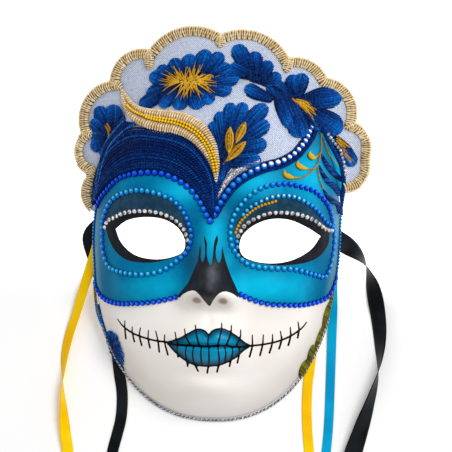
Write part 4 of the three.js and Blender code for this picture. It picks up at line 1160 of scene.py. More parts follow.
def arc_paleness(x, y):
    """A little white painted highlight in the middle of the arc."""
    return 0.36 * ease(x, 24, 34) * (1 - ease(x, 52, 62))


def changing(x, y):
    """A tint that comes and goes from bead to bead."""
    return 0.75 + 0.25 * np.sin(y * 0.9)


print("tint beside the left eye:", round(float(left_ring_tint(-40.0, -7.0)), 2))

# %% The strings
# The numbers after the marks are the pitch, the width and the height of a bead. The string on the
# brow changes to smaller beads at both ends, where the face turns away.
string("brow_beads_left", BROW_LEFT[:6], 3.3, 3.5, 1.9, glass, "royal_bead", lift=0.3)
BROW_MIDDLE = [(-49, 29.3)] + BROW_LEFT[7:-1] + BROW_RIGHT[:8]
string("brow_beads_middle", BROW_MIDDLE, 4.45, 4.4, 2.2, glass, "royal_bead", ["brow_beads"], lift=0.3,
       tint=deeper, pale=whiter)
BROW_END = [(42.4, 40.5), (46.9, 43.4), (50.5, 47), (53.2, 50.8), (55.4, 55), (57.2, 61.5)]
string("brow_beads_right", BROW_END, 3.9, 3.9, 1.9, glass, "royal_bead", lift=0.3, tint=deeper, pale=whiter)
string("ring_of_beads_left", RING_LEFT, 3.95, 3.65, 1.9, glass, "teal_bead", ["left_eye_ring"],
       tint=left_ring_tint, closed=True)
string("ring_of_beads_right", RING_RIGHT, 3.95, 3.7, 1.9, glass, "teal_bead", ["right_eye_ring"],
       tint=right_ring_tint, closed=True)
string("arc_of_beads_right", ARC_RIGHT, 3.55, 3.2, 1.8, glass, "teal_bead", ["right_inner_arc"],
       tint=lambda x, y: 1 - 0.6 * ease(x, 52, 66), pale=arc_paleness)
string("corner_beads_right", [(15.6, -14), (15.2, -10.5)], 3.5, 3.2, 1.8, glass, "teal_bead", tint=0.7)
for side, marks in (("left", STONES_LEFT), ("right", STONES_RIGHT)):
    string(f"stones_{side}", marks, 3.47, 3.25, 1.4, stone, "crystal", [f"{side}_crystals"], tree=STONES)
for side, marks in (("left", CHEEK_LEFT), ("right", CHEEK_RIGHT)):
    string(f"cheek_beads_glass_{side}", marks, 3.7, 3.75, 1.9, glass, "royal_bead", [f"{side}_cheek_beads"])
GOLD_RIGHT = [(14.5, -4.7), (15.4, -2), (16.5, 0.4), (17.7, 2.5), (20.2, 5.2), (22.9, 7.7), (25.9, 10.1),
              (28.7, 11.9), (31.4, 13), (35.8, 14.4), (38.6, 15.4)]
string("golden_beads_right", GOLD_RIGHT, 2.2, 2.3, 1.1, bronze, "yellow_bead")
SIDE_LEFT = [(-75, 7.5), (-76, -3.5), (-76, -16), (-75, -28), (-74, -40.5)]
SIDE_RIGHT = [(77.5, 12), (77, 2), (76.8, -10), (76.5, -21), (75.5, -31)]
for side, marks in (("left", SIDE_LEFT), ("right", SIDE_RIGHT)):
    string(f"side_beads_glass_{side}", marks, 2.1, 2.3, 1.4, glass, "teal_bead", [f"{side}_side_beads"],
           tint=changing)
STONES_TEMPLE = [(67.3, 58.3), (69.6, 55.2), (72.6, 51.6), (74.9, 48.6), (76.3, 44), (77.6, 39.2),
                 (78.4, 33.8)]
string("temple_stones", STONES_TEMPLE, 2.4, 2.5, 1.3, stone, "crystal", ["temple_crystals"], lift=1.9,
       tree=STONES)

# %% [markdown]
# The embroidery is satin stitch: threads laid side by side from the heart of a flower to the tip
# of each petal, over a little padding. A petal is therefore a fan of threads on a low mound.

# %% Threads and mounds
chance = random.Random(11)


def threads(name, lines, thickness, finish, slot, nodes=(), sides=5):
    """Threads along 3-D lines. A fourth value of a point is its shade, with painted light and shade in it
    where the caller puts them, or each line has a random one.
    """
    count = [len(line) for line in lines]
    if lines[0].shape[1] == 4:
        shade = np.concatenate([line[:, 3] for line in lines])
    else:
        shade = np.repeat([chance.random() for _ in lines], count)
    thick = thickness if np.ndim(thickness) else np.full(sum(count), float(thickness))
    attributes = {"thickness": thick * MM, "shade": shade}
    piece = grown(name, [line[:, :3] for line in lines], THREADS, finish, attributes, Sides=sides)
    return keep(piece, slot, *nodes)


def mound(line, half_width, height, lift, sides):
    """A low round body along a plan line. Widths and heights are values for each point."""
    line = np.asarray(line, float)[:, :2]
    side = beside(line, 1.0) - line
    half_width, height = (np.broadcast_to(v, len(line)) for v in (half_width, height))
    rings = [laid(line + side * (half_width * share)[:, None], lift + height * math.sqrt(1 - share ** 2))
             for share in np.linspace(1, -1, sides)]
    rings += [laid(line + side * (half_width * share)[:, None], lift - 0.1) for share in (-0.9, 0.9)]
    return np.stack(rings, 1)


def merged(bodies):
    """The points and faces of several bodies in one list."""
    points, faces, start = [], [], 0
    for body_points, body_faces in bodies:
        points.append(body_points)
        faces += [tuple(int(v) + start for v in face) for face in body_faces]
        start += len(body_points)
    return np.vstack(points), faces


def fan(base, tip, width, spacing=0.62, puff=1.1, lift=1.25, start=0.06, painted_light=1.0):
    """The threads of one petal, with painted shade at the root and the edges and painted light towards the
    tip.
    """
    base, tip = np.array(base, float), np.array(tip, float)
    run = tip - base
    length = np.linalg.norm(run)
    side = np.array([-run[1], run[0]]) / length
    lines = []
    for u in np.linspace(-1, 1, max(5, round(width / spacing))):
        end = 1 - width / 2 / length * (1 - math.sqrt(max(0, 1 - 0.96 * u * u)))
        t = np.linspace(start, end, max(6, round(length / 1.6)))
        spread = np.sin(np.pi * (0.03 + 0.66 * t ** 0.85)) ** 0.8
        wander = 0.16 * np.sin(t * 9 + chance.random() * 6)
        flat = base + t[:, None] * run + side * (u * width / 2 * spread + wander)[:, None]
        crown = math.sqrt(max(0.0, 1 - u * u)) * np.sin(np.pi * np.clip(t, 0.08, 0.96)) ** 0.5
        shade = painted_light * (0.04 + 0.78 * ease(t, 0.15, 1.0)) - 0.35 * u ** 4 + chance.uniform(-0.24, 0.26)
        lines.append(np.column_stack([laid(flat, lift + puff * crown + 0.12 * chance.random()),
                                      np.clip(shade, 0, 1)]))
    return lines


print("thread helpers ready")

# %% Yarns and embroidery threads
TWIST = 2600  # how far the strands of a thread turn, in radians for each metre


def yarn(name, dark, middle, light, roughness=0.6):
    """Dyed thread, by its shade from dark to light, with the twist of its strands drawn on it as painted
    light and shade and as a bump.
    """
    finish = Finish(name, Roughness=roughness)
    shade, gone, around = (finish.attribute(key) for key in ("shade", "along", "around"))
    turned = gone * TWIST + around * 2 * math.pi + finish.noise(160, 1) * 24
    lay = turned.math("SINE", turned)
    tone = shade * 0.8 + finish.noise(620, 3) * 0.62 - 0.2 + lay * 0.13
    deeper_half = finish.mix(tone.step(0.0, 0.5), dark, middle)
    finish.feed("Base Color", finish.mix(tone.step(0.5, 1.0), deeper_half, light))
    finish.bump(lay, 0.00008, 0.8)
    return finish


blue_thread = yarn("blue embroidery thread", paint(0, 14, 50), paint(0, 60, 138), paint(6, 114, 208))
gold_thread = yarn("gold embroidery thread", paint(104, 66, 8), paint(192, 140, 24), paint(232, 184, 60))
old_gold = yarn("old gold thread", paint(84, 58, 4), paint(146, 108, 12), paint(196, 158, 44))
navy_thread = yarn("navy yarn", paint(0, 6, 28), paint(2, 36, 104), paint(14, 96, 186))
bright_navy = yarn("royal yarn", paint(4, 36, 110), paint(10, 80, 170), paint(60, 150, 225))
cream_thread = yarn("cream gold thread", paint(206, 168, 116), paint(232, 204, 156), paint(255, 240, 210),
                    0.42)
print("threads ready")

# %% [markdown]
# The flowers are drawn petal by petal. Under its threads each petal has a bed of padding, which
# also closes the gaps between them, so that no silver cloth shines through.

# %% Blue flowers and leaves
# Each petal runs from its root to its tip and has a width.
PETALS = {
    "flower_top_left": [
        ((-28.4, 82.5), (-48.2, 71), 9), ((-27.3, 83.9), (-44.9, 79.2), 8.5),
        ((-28.9, 85.8), (-43.2, 91.2), 9), ((-26.3, 86.5), (-38, 96.4), 8.5),
        ((-22.6, 87.9), (-29.3, 101.7), 9.6), ((-19.3, 88), (-18.5, 104.9), 9.8),
        ((-14.7, 88.1), (-7.8, 107.7), 10.4), ((-11.5, 87.5), (1.2, 106), 9),
        ((-10.2, 87.5), (6.9, 98.2), 9.5), ((-9.4, 86.3), (12.3, 90.4), 9.5), ((-9.9, 84.9), (8.6, 82), 9),
        ((-12.5, 84.9), (-2.6, 74.2), 9), ((-16.3, 84.8), (-10.4, 70.2), 11.4),
        ((-21.4, 84), (-23.6, 69.2), 10.6), ((-25.9, 83.2), (-34.6, 70.5), 8)],
    "flower_top_middle": [
        ((19.4, 93.7), (9.2, 111.4), 10.1), ((21.4, 91.2), (6, 98.2), 8.2),
        ((22.6, 92.5), (20.7, 107.7), 9.5), ((25.2, 90.7), (30.7, 102.1), 8.2),
        ((29, 87.7), (37.2, 94.1), 8.2)],
    "leaf_small": [((33.6, 76.6), (16.2, 84.5), 7.6)],
    "flower_top_right": [
        ((44.5, 76), (30.5, 88.5), 12.7), ((35.5, 86), (49, 60), 13.5),
        ((46.2, 79.6), (44.4, 94.4), 8.9), ((47.4, 79.6), (51.2, 95.4), 8.9),
        ((48.1, 77.6), (74.7, 82.9), 13), ((53.2, 73.6), (75.5, 60.6), 14.4),
        ((44.3, 74.3), (51.8, 54.8), 11.5), ((52.2, 70.9), (62.4, 60.7), 8.2)],
    "leaf_middle": [
        ((3.4, 44), (-2.2, 62.8), 7.6), ((4.4, 48), (1.9, 69), 7.4), ((6, 50), (8.8, 74.6), 8.4),
        ((9, 51), (16.6, 74.9), 8.4), ((10, 50), (29.7, 74.2), 9.6), ((11, 48), (31.9, 63.4), 9.6),
        ((10, 45), (31.3, 50.8), 10), ((6, 38.5), (28.6, 39.8), 11), ((3.6, 38), (-0.8, 54), 7),
        ((6, 41), (4.4, 27), 4.6)],
    "flower_left": [
        ((-66, 53), (-59.5, 66), 9), ((-67.2, 54.5), (-76.6, 70.8), 9.6), ((-65, 54), (-66.4, 72.4), 12),
        ((-67.8, 53.2), (-79.9, 62.4), 9.4), ((-68.4, 51.3), (-80.3, 53.2), 9.2),
        ((-68.4, 50), (-79.8, 45), 9.4), ((-65.8, 48.7), (-73.6, 41), 8.6)],
    "leaf_right": [
        ((71.2, 57.6), (83.8, 39.4), 9.2)],
}
# The heart of a flower is filled with a low fan first, so that the petals have a bed to start from. Its
# threads carry less painted light.
HEARTS = {"flower_top_left": ((-31, 84.4), (-4.5, 87), 11),
          "flower_top_right": ((40.5, 79.5), (64.5, 68), 9.5),
          "flower_left": ((-71.5, 53.5), (-60.5, 54), 8), "leaf_middle": ((3, 36), (19, 59), 11),
          "flower_top_middle": ((18, 91), (35, 87.5), 6.5)}

for name, petals in PETALS.items():
    lines, beds = [], []
    if name in HEARTS:
        lines += fan(*HEARTS[name], puff=0.5, painted_light=0.35)
    for base, tip, width in petals:
        lines += fan(base, tip, width)
        steps = np.linspace(0.02, 0.94, 9)
        flat = np.array(base) + steps[:, None] * (np.array(tip) - np.array(base))
        spread = np.sin(np.pi * (0.03 + 0.66 * steps ** 0.85)) ** 0.8 * np.sqrt(1 - (steps / 1.02) ** 8)
        half = width / 2 * spread * 0.97
        beds.append(swept(mound(flat, half, height=0.9 * spread, lift=1.12, sides=7)))
    threads(name + "_stitches", lines, 0.78, blue_thread, "blue_thread", [name])
    keep(add_piece(name + "_padding", *merged(beds), navy_thread), "blue_thread")

# %% [markdown]
# Gold thread is laid last, over the blue: a burst in the largest flower, short streaks in others,
# and slim leaves. Hand stitches never lie evenly, so these are placed by lot with a fixed seed.

# %% Gold stitches in the flowers
# The heart of the largest flower is a burst of fine stitches that start on one short line.
spikes, spike_widths = [], []
for _ in range(84):
    angle = chance.uniform(0, 2 * math.pi)
    root = np.array([-17.5 + chance.gauss(0, 2.2), 86 + chance.gauss(0, 0.7)])
    root += np.array([6.0 * math.cos(angle), 0.8 * math.sin(angle)])
    share = chance.uniform(0.55, 1.0)
    tip = np.array([-17.8, 87]) + share * np.array([20 * math.cos(angle), 12.6 * math.sin(angle)])
    t = np.linspace(0, 1, 5)
    flat = root + t[:, None] * (tip - root)
    shade = 0.95 - 0.45 * t + chance.uniform(-0.25, 0.1)
    lift = 2.4 + 1.1 * np.sin(np.pi * (0.3 + 0.62 * t)) + 0.4 * chance.random()
    spikes.append(np.column_stack([laid(flat, lift), np.clip(shade, 0, 1)]))
    spike_widths.append(1.05 - 0.7 * t ** 1.3)
threads("gold_burst", spikes, np.concatenate(spike_widths), gold_thread, "gold_thread")


def streak(marks, width, count, lift=2.6):
    """Short gold stitches laid along a line, as in the heart of a flower."""
    path = curve_through(marks, 0.5)
    made = []
    for _ in range(count):
        first = chance.uniform(0, 0.55)
        last = min(1.0, first + chance.uniform(0.25, 0.5))
        part = path[int(first * (len(path) - 1)):int(last * (len(path) - 1)) + 2]
        shift = chance.uniform(-1, 1) * width / 2
        made.append(laid(beside(part, shift) if len(part) > 2 else part, lift + 0.4 * chance.random()))
    return made


stitches = []
for spread, end in ((-3.2, (56.8, 75)), (-1.2, (59.2, 73)), (1.2, (60.4, 70)), (3.2, (58.4, 67))):
    stitches += streak([(43.8, 79.4), (51.5, 76.4 - spread * 0.5), end], 2.4, 13)
STREAKS = [([(-70, 60.5), (-67.4, 56), (-66.4, 50)], 2.2, 12, 2.6),
           ([(71, 57.4), (74.5, 55), (80.5, 51)], 2.0, 9, 2.5),
           ([(72, 55), (76.5, 50.5), (80.5, 46)], 2.6, 12, 2.6),
           ([(74, 51.5), (77.6, 46.4), (83, 41)], 1.8, 10, 2.2)]  # way, width, number of stitches, lift
for marks, width, count, lift in STREAKS:
    stitches += streak(marks, width, count, lift)
# A gold leaf is pointed at both ends.
GOLD_LEAVES = [((8.8, 42.6), (8.8, 59.6), 4.8), ((12.8, 50), (18, 62.8), 4.8), ((7.6, 38.6), (18.8, 51), 5)]
for base, tip, width in GOLD_LEAVES:
    base, tip = np.array(base), np.array(tip)
    t = np.linspace(0, 1, 12)
    across = np.array([base[1] - tip[1], tip[0] - base[0]]) / np.linalg.norm(tip - base)
    for u in np.linspace(-1, 1, 9):
        aside = np.sin(np.pi * t ** 1.15) ** 0.8 * u * width / 2
        flat = base + t[:, None] * (tip - base) + np.outer(aside, across)
        stitches.append(laid(flat, 2.4 + 0.8 * np.sin(np.pi * t) * (1 - u * u)))
stitches.append(laid(curve_through([(5.3, 36.3), (6.9, 38.7), (8.4, 41.5), (10.5, 46), (13, 51)], 1.0), 2.4))
threads("gold_stitches", stitches, 0.62, gold_thread, "gold_thread")

# %% [markdown]
# The forehead under the crescent is dressed with hair of thick yarn. The strands run side by side from the
# temple to the point between the brows, and two brighter cords border them. Each strand is two plies wound
# round a line, because yarn is known by the light and dark of its twist, which is painted on the plies as
# light and shade.

# %% Yarn hair
# The upper edge of the hair, from the left temple along the crescent to the point between the brows.
HAIR_EDGE = [(-75.8, 10), (-75.1, 24), (-72.9, 33), (-69.4, 41.4), (-64.5, 49), (-58.4, 54.4), (-51.5, 57.4),
             (-44, 57.4), (-35.9, 56.2), (-27.4, 55.2), (-21.4, 53.6), (-16, 51), (-11.4, 47.4), (-7.5, 43),
             (-4, 38), (-1.7, 33.1), (0.2, 27.3), (1.2, 20.3), (0.4, 10)]


def twisted(line, radius, pitch, plies=2, spacing=0.35, tone=0.5):
    """Plies that wind round a 3-D line, with painted light where they come to the top and painted shade where
    they go under.
    """
    line = evenly(line, spacing)
    ahead = unit(np.gradient(line, axis=0))
    side = unit(np.cross(ahead, [0, 0, 1.0]))
    up = np.cross(side, ahead)
    gone = np.arange(len(line)) * spacing
    made = []
    for k in range(plies):
        turn = (2 * math.pi * (gone / pitch + k / plies))[:, None]
        ply = line + (side * np.cos(turn) + up * np.sin(turn)) * radius
        made.append(np.column_stack([ply, np.clip(tone + 0.42 * np.sin(turn), 0, 1)]))
    return made


def smoothed(line, window):
    """A line with its bends rounded, its ends kept. The window is counted in points to each side."""
    if window < 1:
        return line
    weights = np.hanning(2 * window + 3)
    before, after = 2 * line[0] - line[window + 1:0:-1], 2 * line[-1] - line[-2:-window - 3:-1]
    padded = np.vstack([before, line, after])
    return np.column_stack([np.convolve(padded[:, k], weights / weights.sum(), "valid") for k in range(2)])


brow_side = evenly(beside(curve_through(BROW_LEFT, 1.0), 2.3), count=52)
hair_side = evenly(curve_through(HAIR_EDGE, 1.0), count=52)
YARN = {"radius": 0.42, "pitch": 3.6, "spacing": 0.55}
STRANDS = 24
strands = []
for k in range(STRANDS):
    share = (k + 0.2) / STRANDS
    lean = 0.35 * np.sin(np.linspace(0, 7, 52) + k * 2.1)
    flat = brow_side * (1 - share) + hair_side * share + lean[:, None] * np.array([0.3, 0.5])
    flat = smoothed(flat, round(9 * (1 - share ** 2)))
    raised = laid(flat, 1.7 + 0.6 * (k % 2) + 0.2 * math.sin(k * 1.7))
    strands += twisted(raised, **YARN, tone=0.06 + 0.6 * chance.random() ** 1.3)
# The corner between the outermost strand and the crescent is filled with strands beside the border.
BORDER = [[(-73.8, 12), (-72.8, 24), (-71.8, 34), (-69.9, 44.5), (-64.5, 53), (-57.2, 61)],
          [(-72.1, 16), (-70.6, 27), (-68.6, 37), (-64.5, 46.8), (-57.1, 54.3), (-49, 60)]]
first, last = (evenly(curve_through(marks, 1.0), count=40) for marks in BORDER)
for k in range(8):
    line = first + (last - first) * (k + 0.5) / 8
    strands += twisted(laid(line, 1.8 + 0.3 * (k % 2)), **YARN, tone=0.05 + 0.3 * chance.random())
# A few strands run on beside the beads of the right brow, up to the stem of the middle leaf.
for k, rise in enumerate((0.0, 1.2, 2.4, 3.5)):
    line = curve_through([(0.6, 7), (2.4, 13.5), (3.6, 19), (5.2, 25.5), (7.6, 31), (10.4, 35.5)], 1.0)
    raised = laid(beside(line, rise), 1.5)
    strands += twisted(raised, radius=0.44, pitch=3.4, spacing=0.55, tone=0.3 + 0.08 * k)
threads("yarn_hair", strands, 0.88, navy_thread, "navy_thread", ["hair_cords"], sides=4)
plies = []
for marks in BORDER:
    plies += twisted(laid(curve_through(marks, 1), 2.5), radius=0.4, pitch=3.2, tone=0.45)
threads("border_cords", plies, 0.85, bright_navy, "navy_thread")

# %% [markdown]
# The crest is edged with a metallic braid: buttonhole stitches set side by side across a padded
# strip, with a fine cord along the outer edge. At every valley the braid runs on a little inwards.

# %% Braid on the scallops
# The padding is dark brown, so that the gaps between the stitches show as painted shade.
shaded_braid_bed = speckled("braid padding", 700, 2, paint(92, 68, 34), paint(136, 106, 62), Roughness=0.7)
braid_thread = yarn("antique gold thread", paint(186, 154, 104), paint(224, 198, 150), paint(252, 240, 208),
                    0.4)
middle = scallops(3.2, 1.0)
middle = evenly(middle[reach(*middle.T) > 1.015], 1.0)
padding = mound(middle, half_width=3.0, height=1.5, lift=1.15, sides=9)
keep(add_piece("braid_padding", *swept(padding), shaded_braid_bed), "gold_braid")


def spread_over(line, values, at=None):
    """A value for each point of a line, from one or a few values at shares of its length."""
    values = np.atleast_1d(values)
    at = np.linspace(0, 1, len(values)) if at is None else at
    return np.interp(np.linspace(0, 1, len(line)), at, values)


def ribs_across(line, half_width, lift, height, pitch, slant, points=7, uneven=0.0):
    """Threads across a mound, one for each step along its line."""
    spots = evenly(line, pitch)
    half, tall = spread_over(spots, half_width), spread_over(spots, height)
    side = beside(spots, 1.0) - spots
    ahead = np.column_stack([side[:, 1], -side[:, 0]])
    made = []
    for k in range(len(spots)):
        share = np.linspace(-1, 1, points)
        lean = slant + chance.uniform(-uneven, uneven)
        flat = spots[k] + side[k] * (share * half[k])[:, None] + ahead[k] * (share * lean * half[k])[:, None]
        line = laid(flat, lift + tall[k] * np.sqrt(np.clip(1 - share ** 2, 0, 1)) + 0.08 * chance.random())
        if uneven:
            shade = 0.55 + 0.3 * np.cos(share * 2.6 * math.pi) + chance.uniform(-0.3, 0.3)
        else:
            shade = np.full(points, chance.random())
        made.append(np.column_stack([line, np.clip(shade, 0, 1)]))
    return made


ribs = ribs_across(middle, half_width=3.0, lift=1.35, height=1.55, pitch=1.4, slant=0.06, points=9,
                   uneven=0.16)
TONGUES = [((-78.4, 28.8), (-74.6, 32.5)), ((-84.5, 53.9), (-79.2, 53.3)), ((-66.6, 85.9), (-61, 82.8)),
           ((-44.2, 104.6), (-43.9, 95.2)), ((0, 116), (-0.3, 110)), ((41.6, 102.4), (40.5, 96)),
           ((82.2, 65.4), (77.8, 62.9))]  # from the valley of the scallops to the tip
tongues = []
for valley, tip in TONGUES:
    line = evenly([valley, tip], count=9)
    half = np.array([2.7, 2.9, 2.9, 2.9, 2.8, 2.7, 2.4, 1.9, 1.0])
    tongues.append(swept(mound(line, half, height=1.6, lift=1.3, sides=7)))
    ribs += ribs_across(line, half, lift=1.5, height=1.75, pitch=1.3, slant=0.0, points=9, uneven=0.16)
threads("braid_stitches", ribs, 1.05, braid_thread, "gold_braid", ["crest_braid"])
keep(add_piece("braid_tongues", *merged(tongues), shaded_braid_bed), "gold_braid")
edge_line = scallops(0.55, 1.0)
edge_line = edge_line[reach(*edge_line.T) > 1.02]
plies = twisted(laid(edge_line, 1.75), radius=0.46, pitch=2.6)
threads("braid_edge_cord", plies, 0.9, braid_thread, "gold_braid")

# %% [markdown]
# A padded crescent sweeps from the left of the crest to the point between the brows: two rolls
# wrapped in cream thread, and golden seed beads in the groove between them.

# %% Crescent
CRESCENT_TOP = [(-60.2, 81.6), (-55.2, 76), (-50, 71), (-43.5, 68.6), (-34.2, 67.6), (-24, 67.2), (-17.2, 66),
                (-9.6, 62.4), (-4.4, 58), (-0.6, 52.4), (1.8, 46.4), (2.9, 40), (3.1, 33), (2.2, 26.8)]
CRESCENT_LOWER = [(-61.1, 80.6), (-60, 74), (-57, 67.4), (-53, 62.8), (-47, 59), (-39.6, 56.4),
                  (-30, 55.4), (-22.5, 53.9), (-15.4, 50.6), (-9.1, 45.2), (-5, 40.3), (-2, 35.4),
                  (0.2, 29.8), (1.6, 26.2)]
upper_edge = evenly(curve_through(CRESCENT_TOP, 1.0), count=90)
lower_edge = evenly(curve_through(CRESCENT_LOWER, 1.0), count=90)
wide = np.linalg.norm(upper_edge - lower_edge, axis=1)
rolls, wraps = [], []
for first, last in ((0.0, 0.41), (0.59, 1.0)):
    line = lower_edge + (upper_edge - lower_edge) * (first + last) / 2
    half = wide * (last - first) / 2 * 0.98
    tall = np.clip(wide * 0.33, 0.5, 2.9)
    rolls.append(swept(mound(line, half * 0.92, height=tall * 0.85, lift=1.15, sides=9)))
    wraps += ribs_across(line, half, lift=1.3, height=tall, pitch=1.5, slant=0.18, uneven=0.06)
threads("crescent_wrapping", wraps, 1.28, cream_thread, "gold_braid", ["crescent"])
# The padding is brown, so that the gaps between the wraps show as painted shade.
shaded_roll_bed = speckled("crescent padding", 700, 2, paint(150, 112, 66), paint(184, 146, 96), Roughness=0.7)
keep(add_piece("crescent_rolls", *merged(rolls), shaded_roll_bed), "gold_braid")

groove = (lower_edge + upper_edge) / 2
tail = groove[27:84]
sideways = (beside(tail, 1.0) - tail) * spread_over(tail, [0.55, 0.92], [0, 0.35])[:, None]
lines = [evenly(row, 0.8) for row in (groove[12:28], tail + sideways, tail - sideways)]
flat = np.vstack(lines)
keep(grown("crescent_seed_beads", [laid(line, 4.3) for line in lines], BEADS, amber,
           {"up": upright(flat)}, Pitch=1.95 * MM, Width=2.15 * MM, Height=1.6 * MM),
     "yellow_bead", "crescent_beads")

# %% [markdown]
# Cords hide the edges. Navy yarn borders the beads of the right brow, a twisted cord closes the
# temple, metallic cord hugs the jaw, and small stitched leaves follow the rim down to the chin.

# %% A panel at the right temple
TEMPLE_RIM = [(61, 64), (66.5, 60.5), (71, 56.5), (75, 50.5), (77.6, 43), (79, 34), (79.8, 26), (79.2, 18)]
grown_rim = face_outline(0.3, 500)
near_temple = grown_rim[(grown_rim[:, 0] > 50) & (grown_rim[:, 1] > 17) & (grown_rim[:, 1] < 66)]
panel_outline = np.vstack([near_temple, curve_through(TEMPLE_RIM, 1.5)])[::-1]
PANEL_TOP, PANEL_BOTTOM = 0.9, 0.05  # millimetres over the face
points, faces = slab(panel_outline, lambda x, y: face_height(x, y) + PANEL_TOP,
                     lambda x, y: face_height(x, y) + PANEL_BOTTOM)
# The panel is cyan all over, as if it lay well inside the band, with some painted light and no painted shade,
# reflection or highlight.
cyan_only = {"band": 5.0, "rim": 0.5, "painted_light": 0.6, "shade": 0.0, "nose_highlight": 0.0}
depths = {name: np.full(len(points), cyan_only.get(name, FAR_OUTSIDE)) for name in areas}
keep(add_piece("temple_panel", points, faces, paint_of_face, attributes=depths), "face_paint")

print("panel:", len(points), "points")

# %% The border of the right brow
brow_right = curve_through(BROW_RIGHT + [(58, 64)], 1.0)[4:]
side = beside(brow_right, 1.0) - brow_right
swell = spread_over(brow_right, [0.5, 0.75, 1, 1], [0, 0.12, 0.5, 1])[:, None]
border = []
for distance, tone in ((-2.3 * np.ones_like(swell), 0.2), (-3.4 * swell, 0.3)):
    border += twisted(laid(brow_right + side * distance, 0.9), radius=0.42, pitch=3.0, spacing=0.5, tone=tone)
border += twisted(laid(brow_right + side * 2.3, 1.0), radius=0.38, pitch=2.8, spacing=0.5, tone=0.25)
threads("brow_border", border, 0.86, navy_thread, "navy_thread", sides=4)
brow_bed = mound(brow_right, half_width=2.7, height=0.35, lift=0.2, sides=7)
keep(add_piece("brow_bed", *swept(brow_bed), navy_thread), "navy_thread")

# %% Cord and stripes of the temple
TEMPLE_CORD = [(65.6, 58.3), (67.7, 54.3), (70.5, 49.4), (73.3, 44.6), (75.7, 39.7), (77.3, 33.6),
               (77.9, 28.3), (78.1, 23.4), (77.9, 16), (77.2, 9)]
cord_line = curve_through(TEMPLE_CORD, 0.8)
outward = spread_over(cord_line, [0.7, 0.7, -0.8], [0, 0.6, 1])[:, None]
cord_line = cord_line + (beside(cord_line, 1.0) - cord_line) * outward
plies = twisted(laid(cord_line, 1.3), radius=0.5, pitch=3.2)
plies += twisted(laid(beside(cord_line, -1.1), 1.2), radius=0.36, pitch=3.2, tone=0.2)
threads("temple_twist", plies, 0.95, navy_thread, "navy_thread", ["temple_cord"], sides=6)

STRIPES = [[(64.8, 45.3), (66.5, 41.7), (69.8, 36.9), (73.7, 33), (77.2, 29.4)],
           [(63.8, 38.2), (65.7, 33.8), (69.1, 29), (73.4, 25.5), (76.9, 20)],
           [(67, 23.4), (69.4, 19.5), (72.6, 16.8), (75.7, 14.2), (76.9, 9.5)]]
for number, marks in enumerate(STRIPES, 1):
    line = curve_through(marks, 0.8)
    ribs = ribs_across(line, half_width=[0.35, 1.1, 1.5, 1.7, 1.4], lift=0.35,
                       height=[0.2, 0.6, 0.8, 0.8, 0.5], pitch=0.62, slant=1.1)
    threads(f"stitched_stripe_{number}", ribs, 0.72, navy_thread, "navy_thread", [f"temple_stripe_{number}"])

# %% [markdown]
# Three small gold drops hang from stems of gold thread. A drop is a mound that swells and thins along a bent
# line, with a painted highlight on its crown and painted shade at its foot.

# %% Gold drops
puff_gold = Finish("puffed gold", Roughness=0.35, Coat_Weight=0.3)
crest = puff_gold.attribute("crown")
grain = puff_gold.noise(900, 3)
# Painted highlight on the crown of a drop and painted shade at its foot, with some grain.
painted_light_on_drops = (crest * 1.15 + grain * 0.3 - 0.3).step(0.1, 0.9)
puff_gold.feed("Base Color", puff_gold.mix(painted_light_on_drops, paint(80, 56, 0), paint(200, 164, 20)))
puff_gold.bump(grain, 0.0002, 0.7)
DROPS = [[(58.1, 47.2), (57.9, 44.9), (59.3, 43.2), (61.2, 43.4), (63.2, 45.2)],
         [(51, 41.1), (50.9, 38.6), (52.6, 37), (55.2, 36.3), (59, 35.9)],
         [(43.3, 35), (43.5, 32.4), (45.7, 30.9), (48.5, 30.1), (52.1, 30.3)]]
bodies, crowns = [], []
for marks in DROPS:
    line = curve_through(marks, 0.5)
    half = spread_over(line, [0.15, 0.9, 2.0, 1.9, 0.9, 0.5], [0, 0.12, 0.32, 0.5, 0.72, 1])
    bodies.append(swept(mound(line, half, height=half * 0.85, lift=0.05, sides=9)))
    crowns.append(np.tile([math.sqrt(1 - s * s) for s in np.linspace(1, -1, 9)] + [0, 0], len(line)))
drops = add_piece("puffed_drops", *merged(bodies), puff_gold, attributes={"crown": np.concatenate(crowns)})
keep(drops, "yellow_bead", "gold_drops")

STEMS = [[(63.5, 58.6), (63.8, 53.6), (64.1, 48.2), (63.5, 43.2), (62.4, 39), (59.8, 35.1), (55.6, 31.6),
          (50.9, 29.8), (47.5, 30.1)],
         [(57, 36.2), (59.5, 35.9), (61.2, 36.9), (62.3, 38.9)], [(61.2, 43.3), (62.8, 44.6), (63.8, 47)],
         [(62.5, 37.3), (63.7, 31.6), (65.3, 26.7), (67.4, 23.1)],
         [(65.6, 53.7), (67.4, 48.8), (69.5, 44.8), (72.6, 41.7), (75.1, 38.9)]]
plies = []
for marks in STEMS:
    plies += twisted(laid(curve_through(marks, 0.6), 0.5), radius=0.28, pitch=1.8)
threads("gold_stems", plies, 0.55, old_gold, "gold_thread")

# %% [markdown]
# Small trims hide the rim along the jaw: a rosette and three cords at the left, stitched olive
# leaves at the right, and a silver cord with one black ply round the chin.

# %% A rosette and cords at the left
ROSETTE_HEART = (-61.4, -79)
ROSETTE_TIPS = [(-63.9, -68.7), (-60.6, -70), (-57.2, -75.2), (-55.5, -81), (-55.1, -86.4), (-56, -91),
                (-59.6, -88.6), (-63.2, -84), (-65.6, -78.5), (-66.2, -73.5)]
lines = []
for tip in ROSETTE_TIPS:
    lines += fan(ROSETTE_HEART, tip, 5.2, 0.6, 0.8, 0.4, 0.12)
threads("rosette_stitches", lines, 0.72, blue_thread, "blue_thread", ["jaw_rosette"])

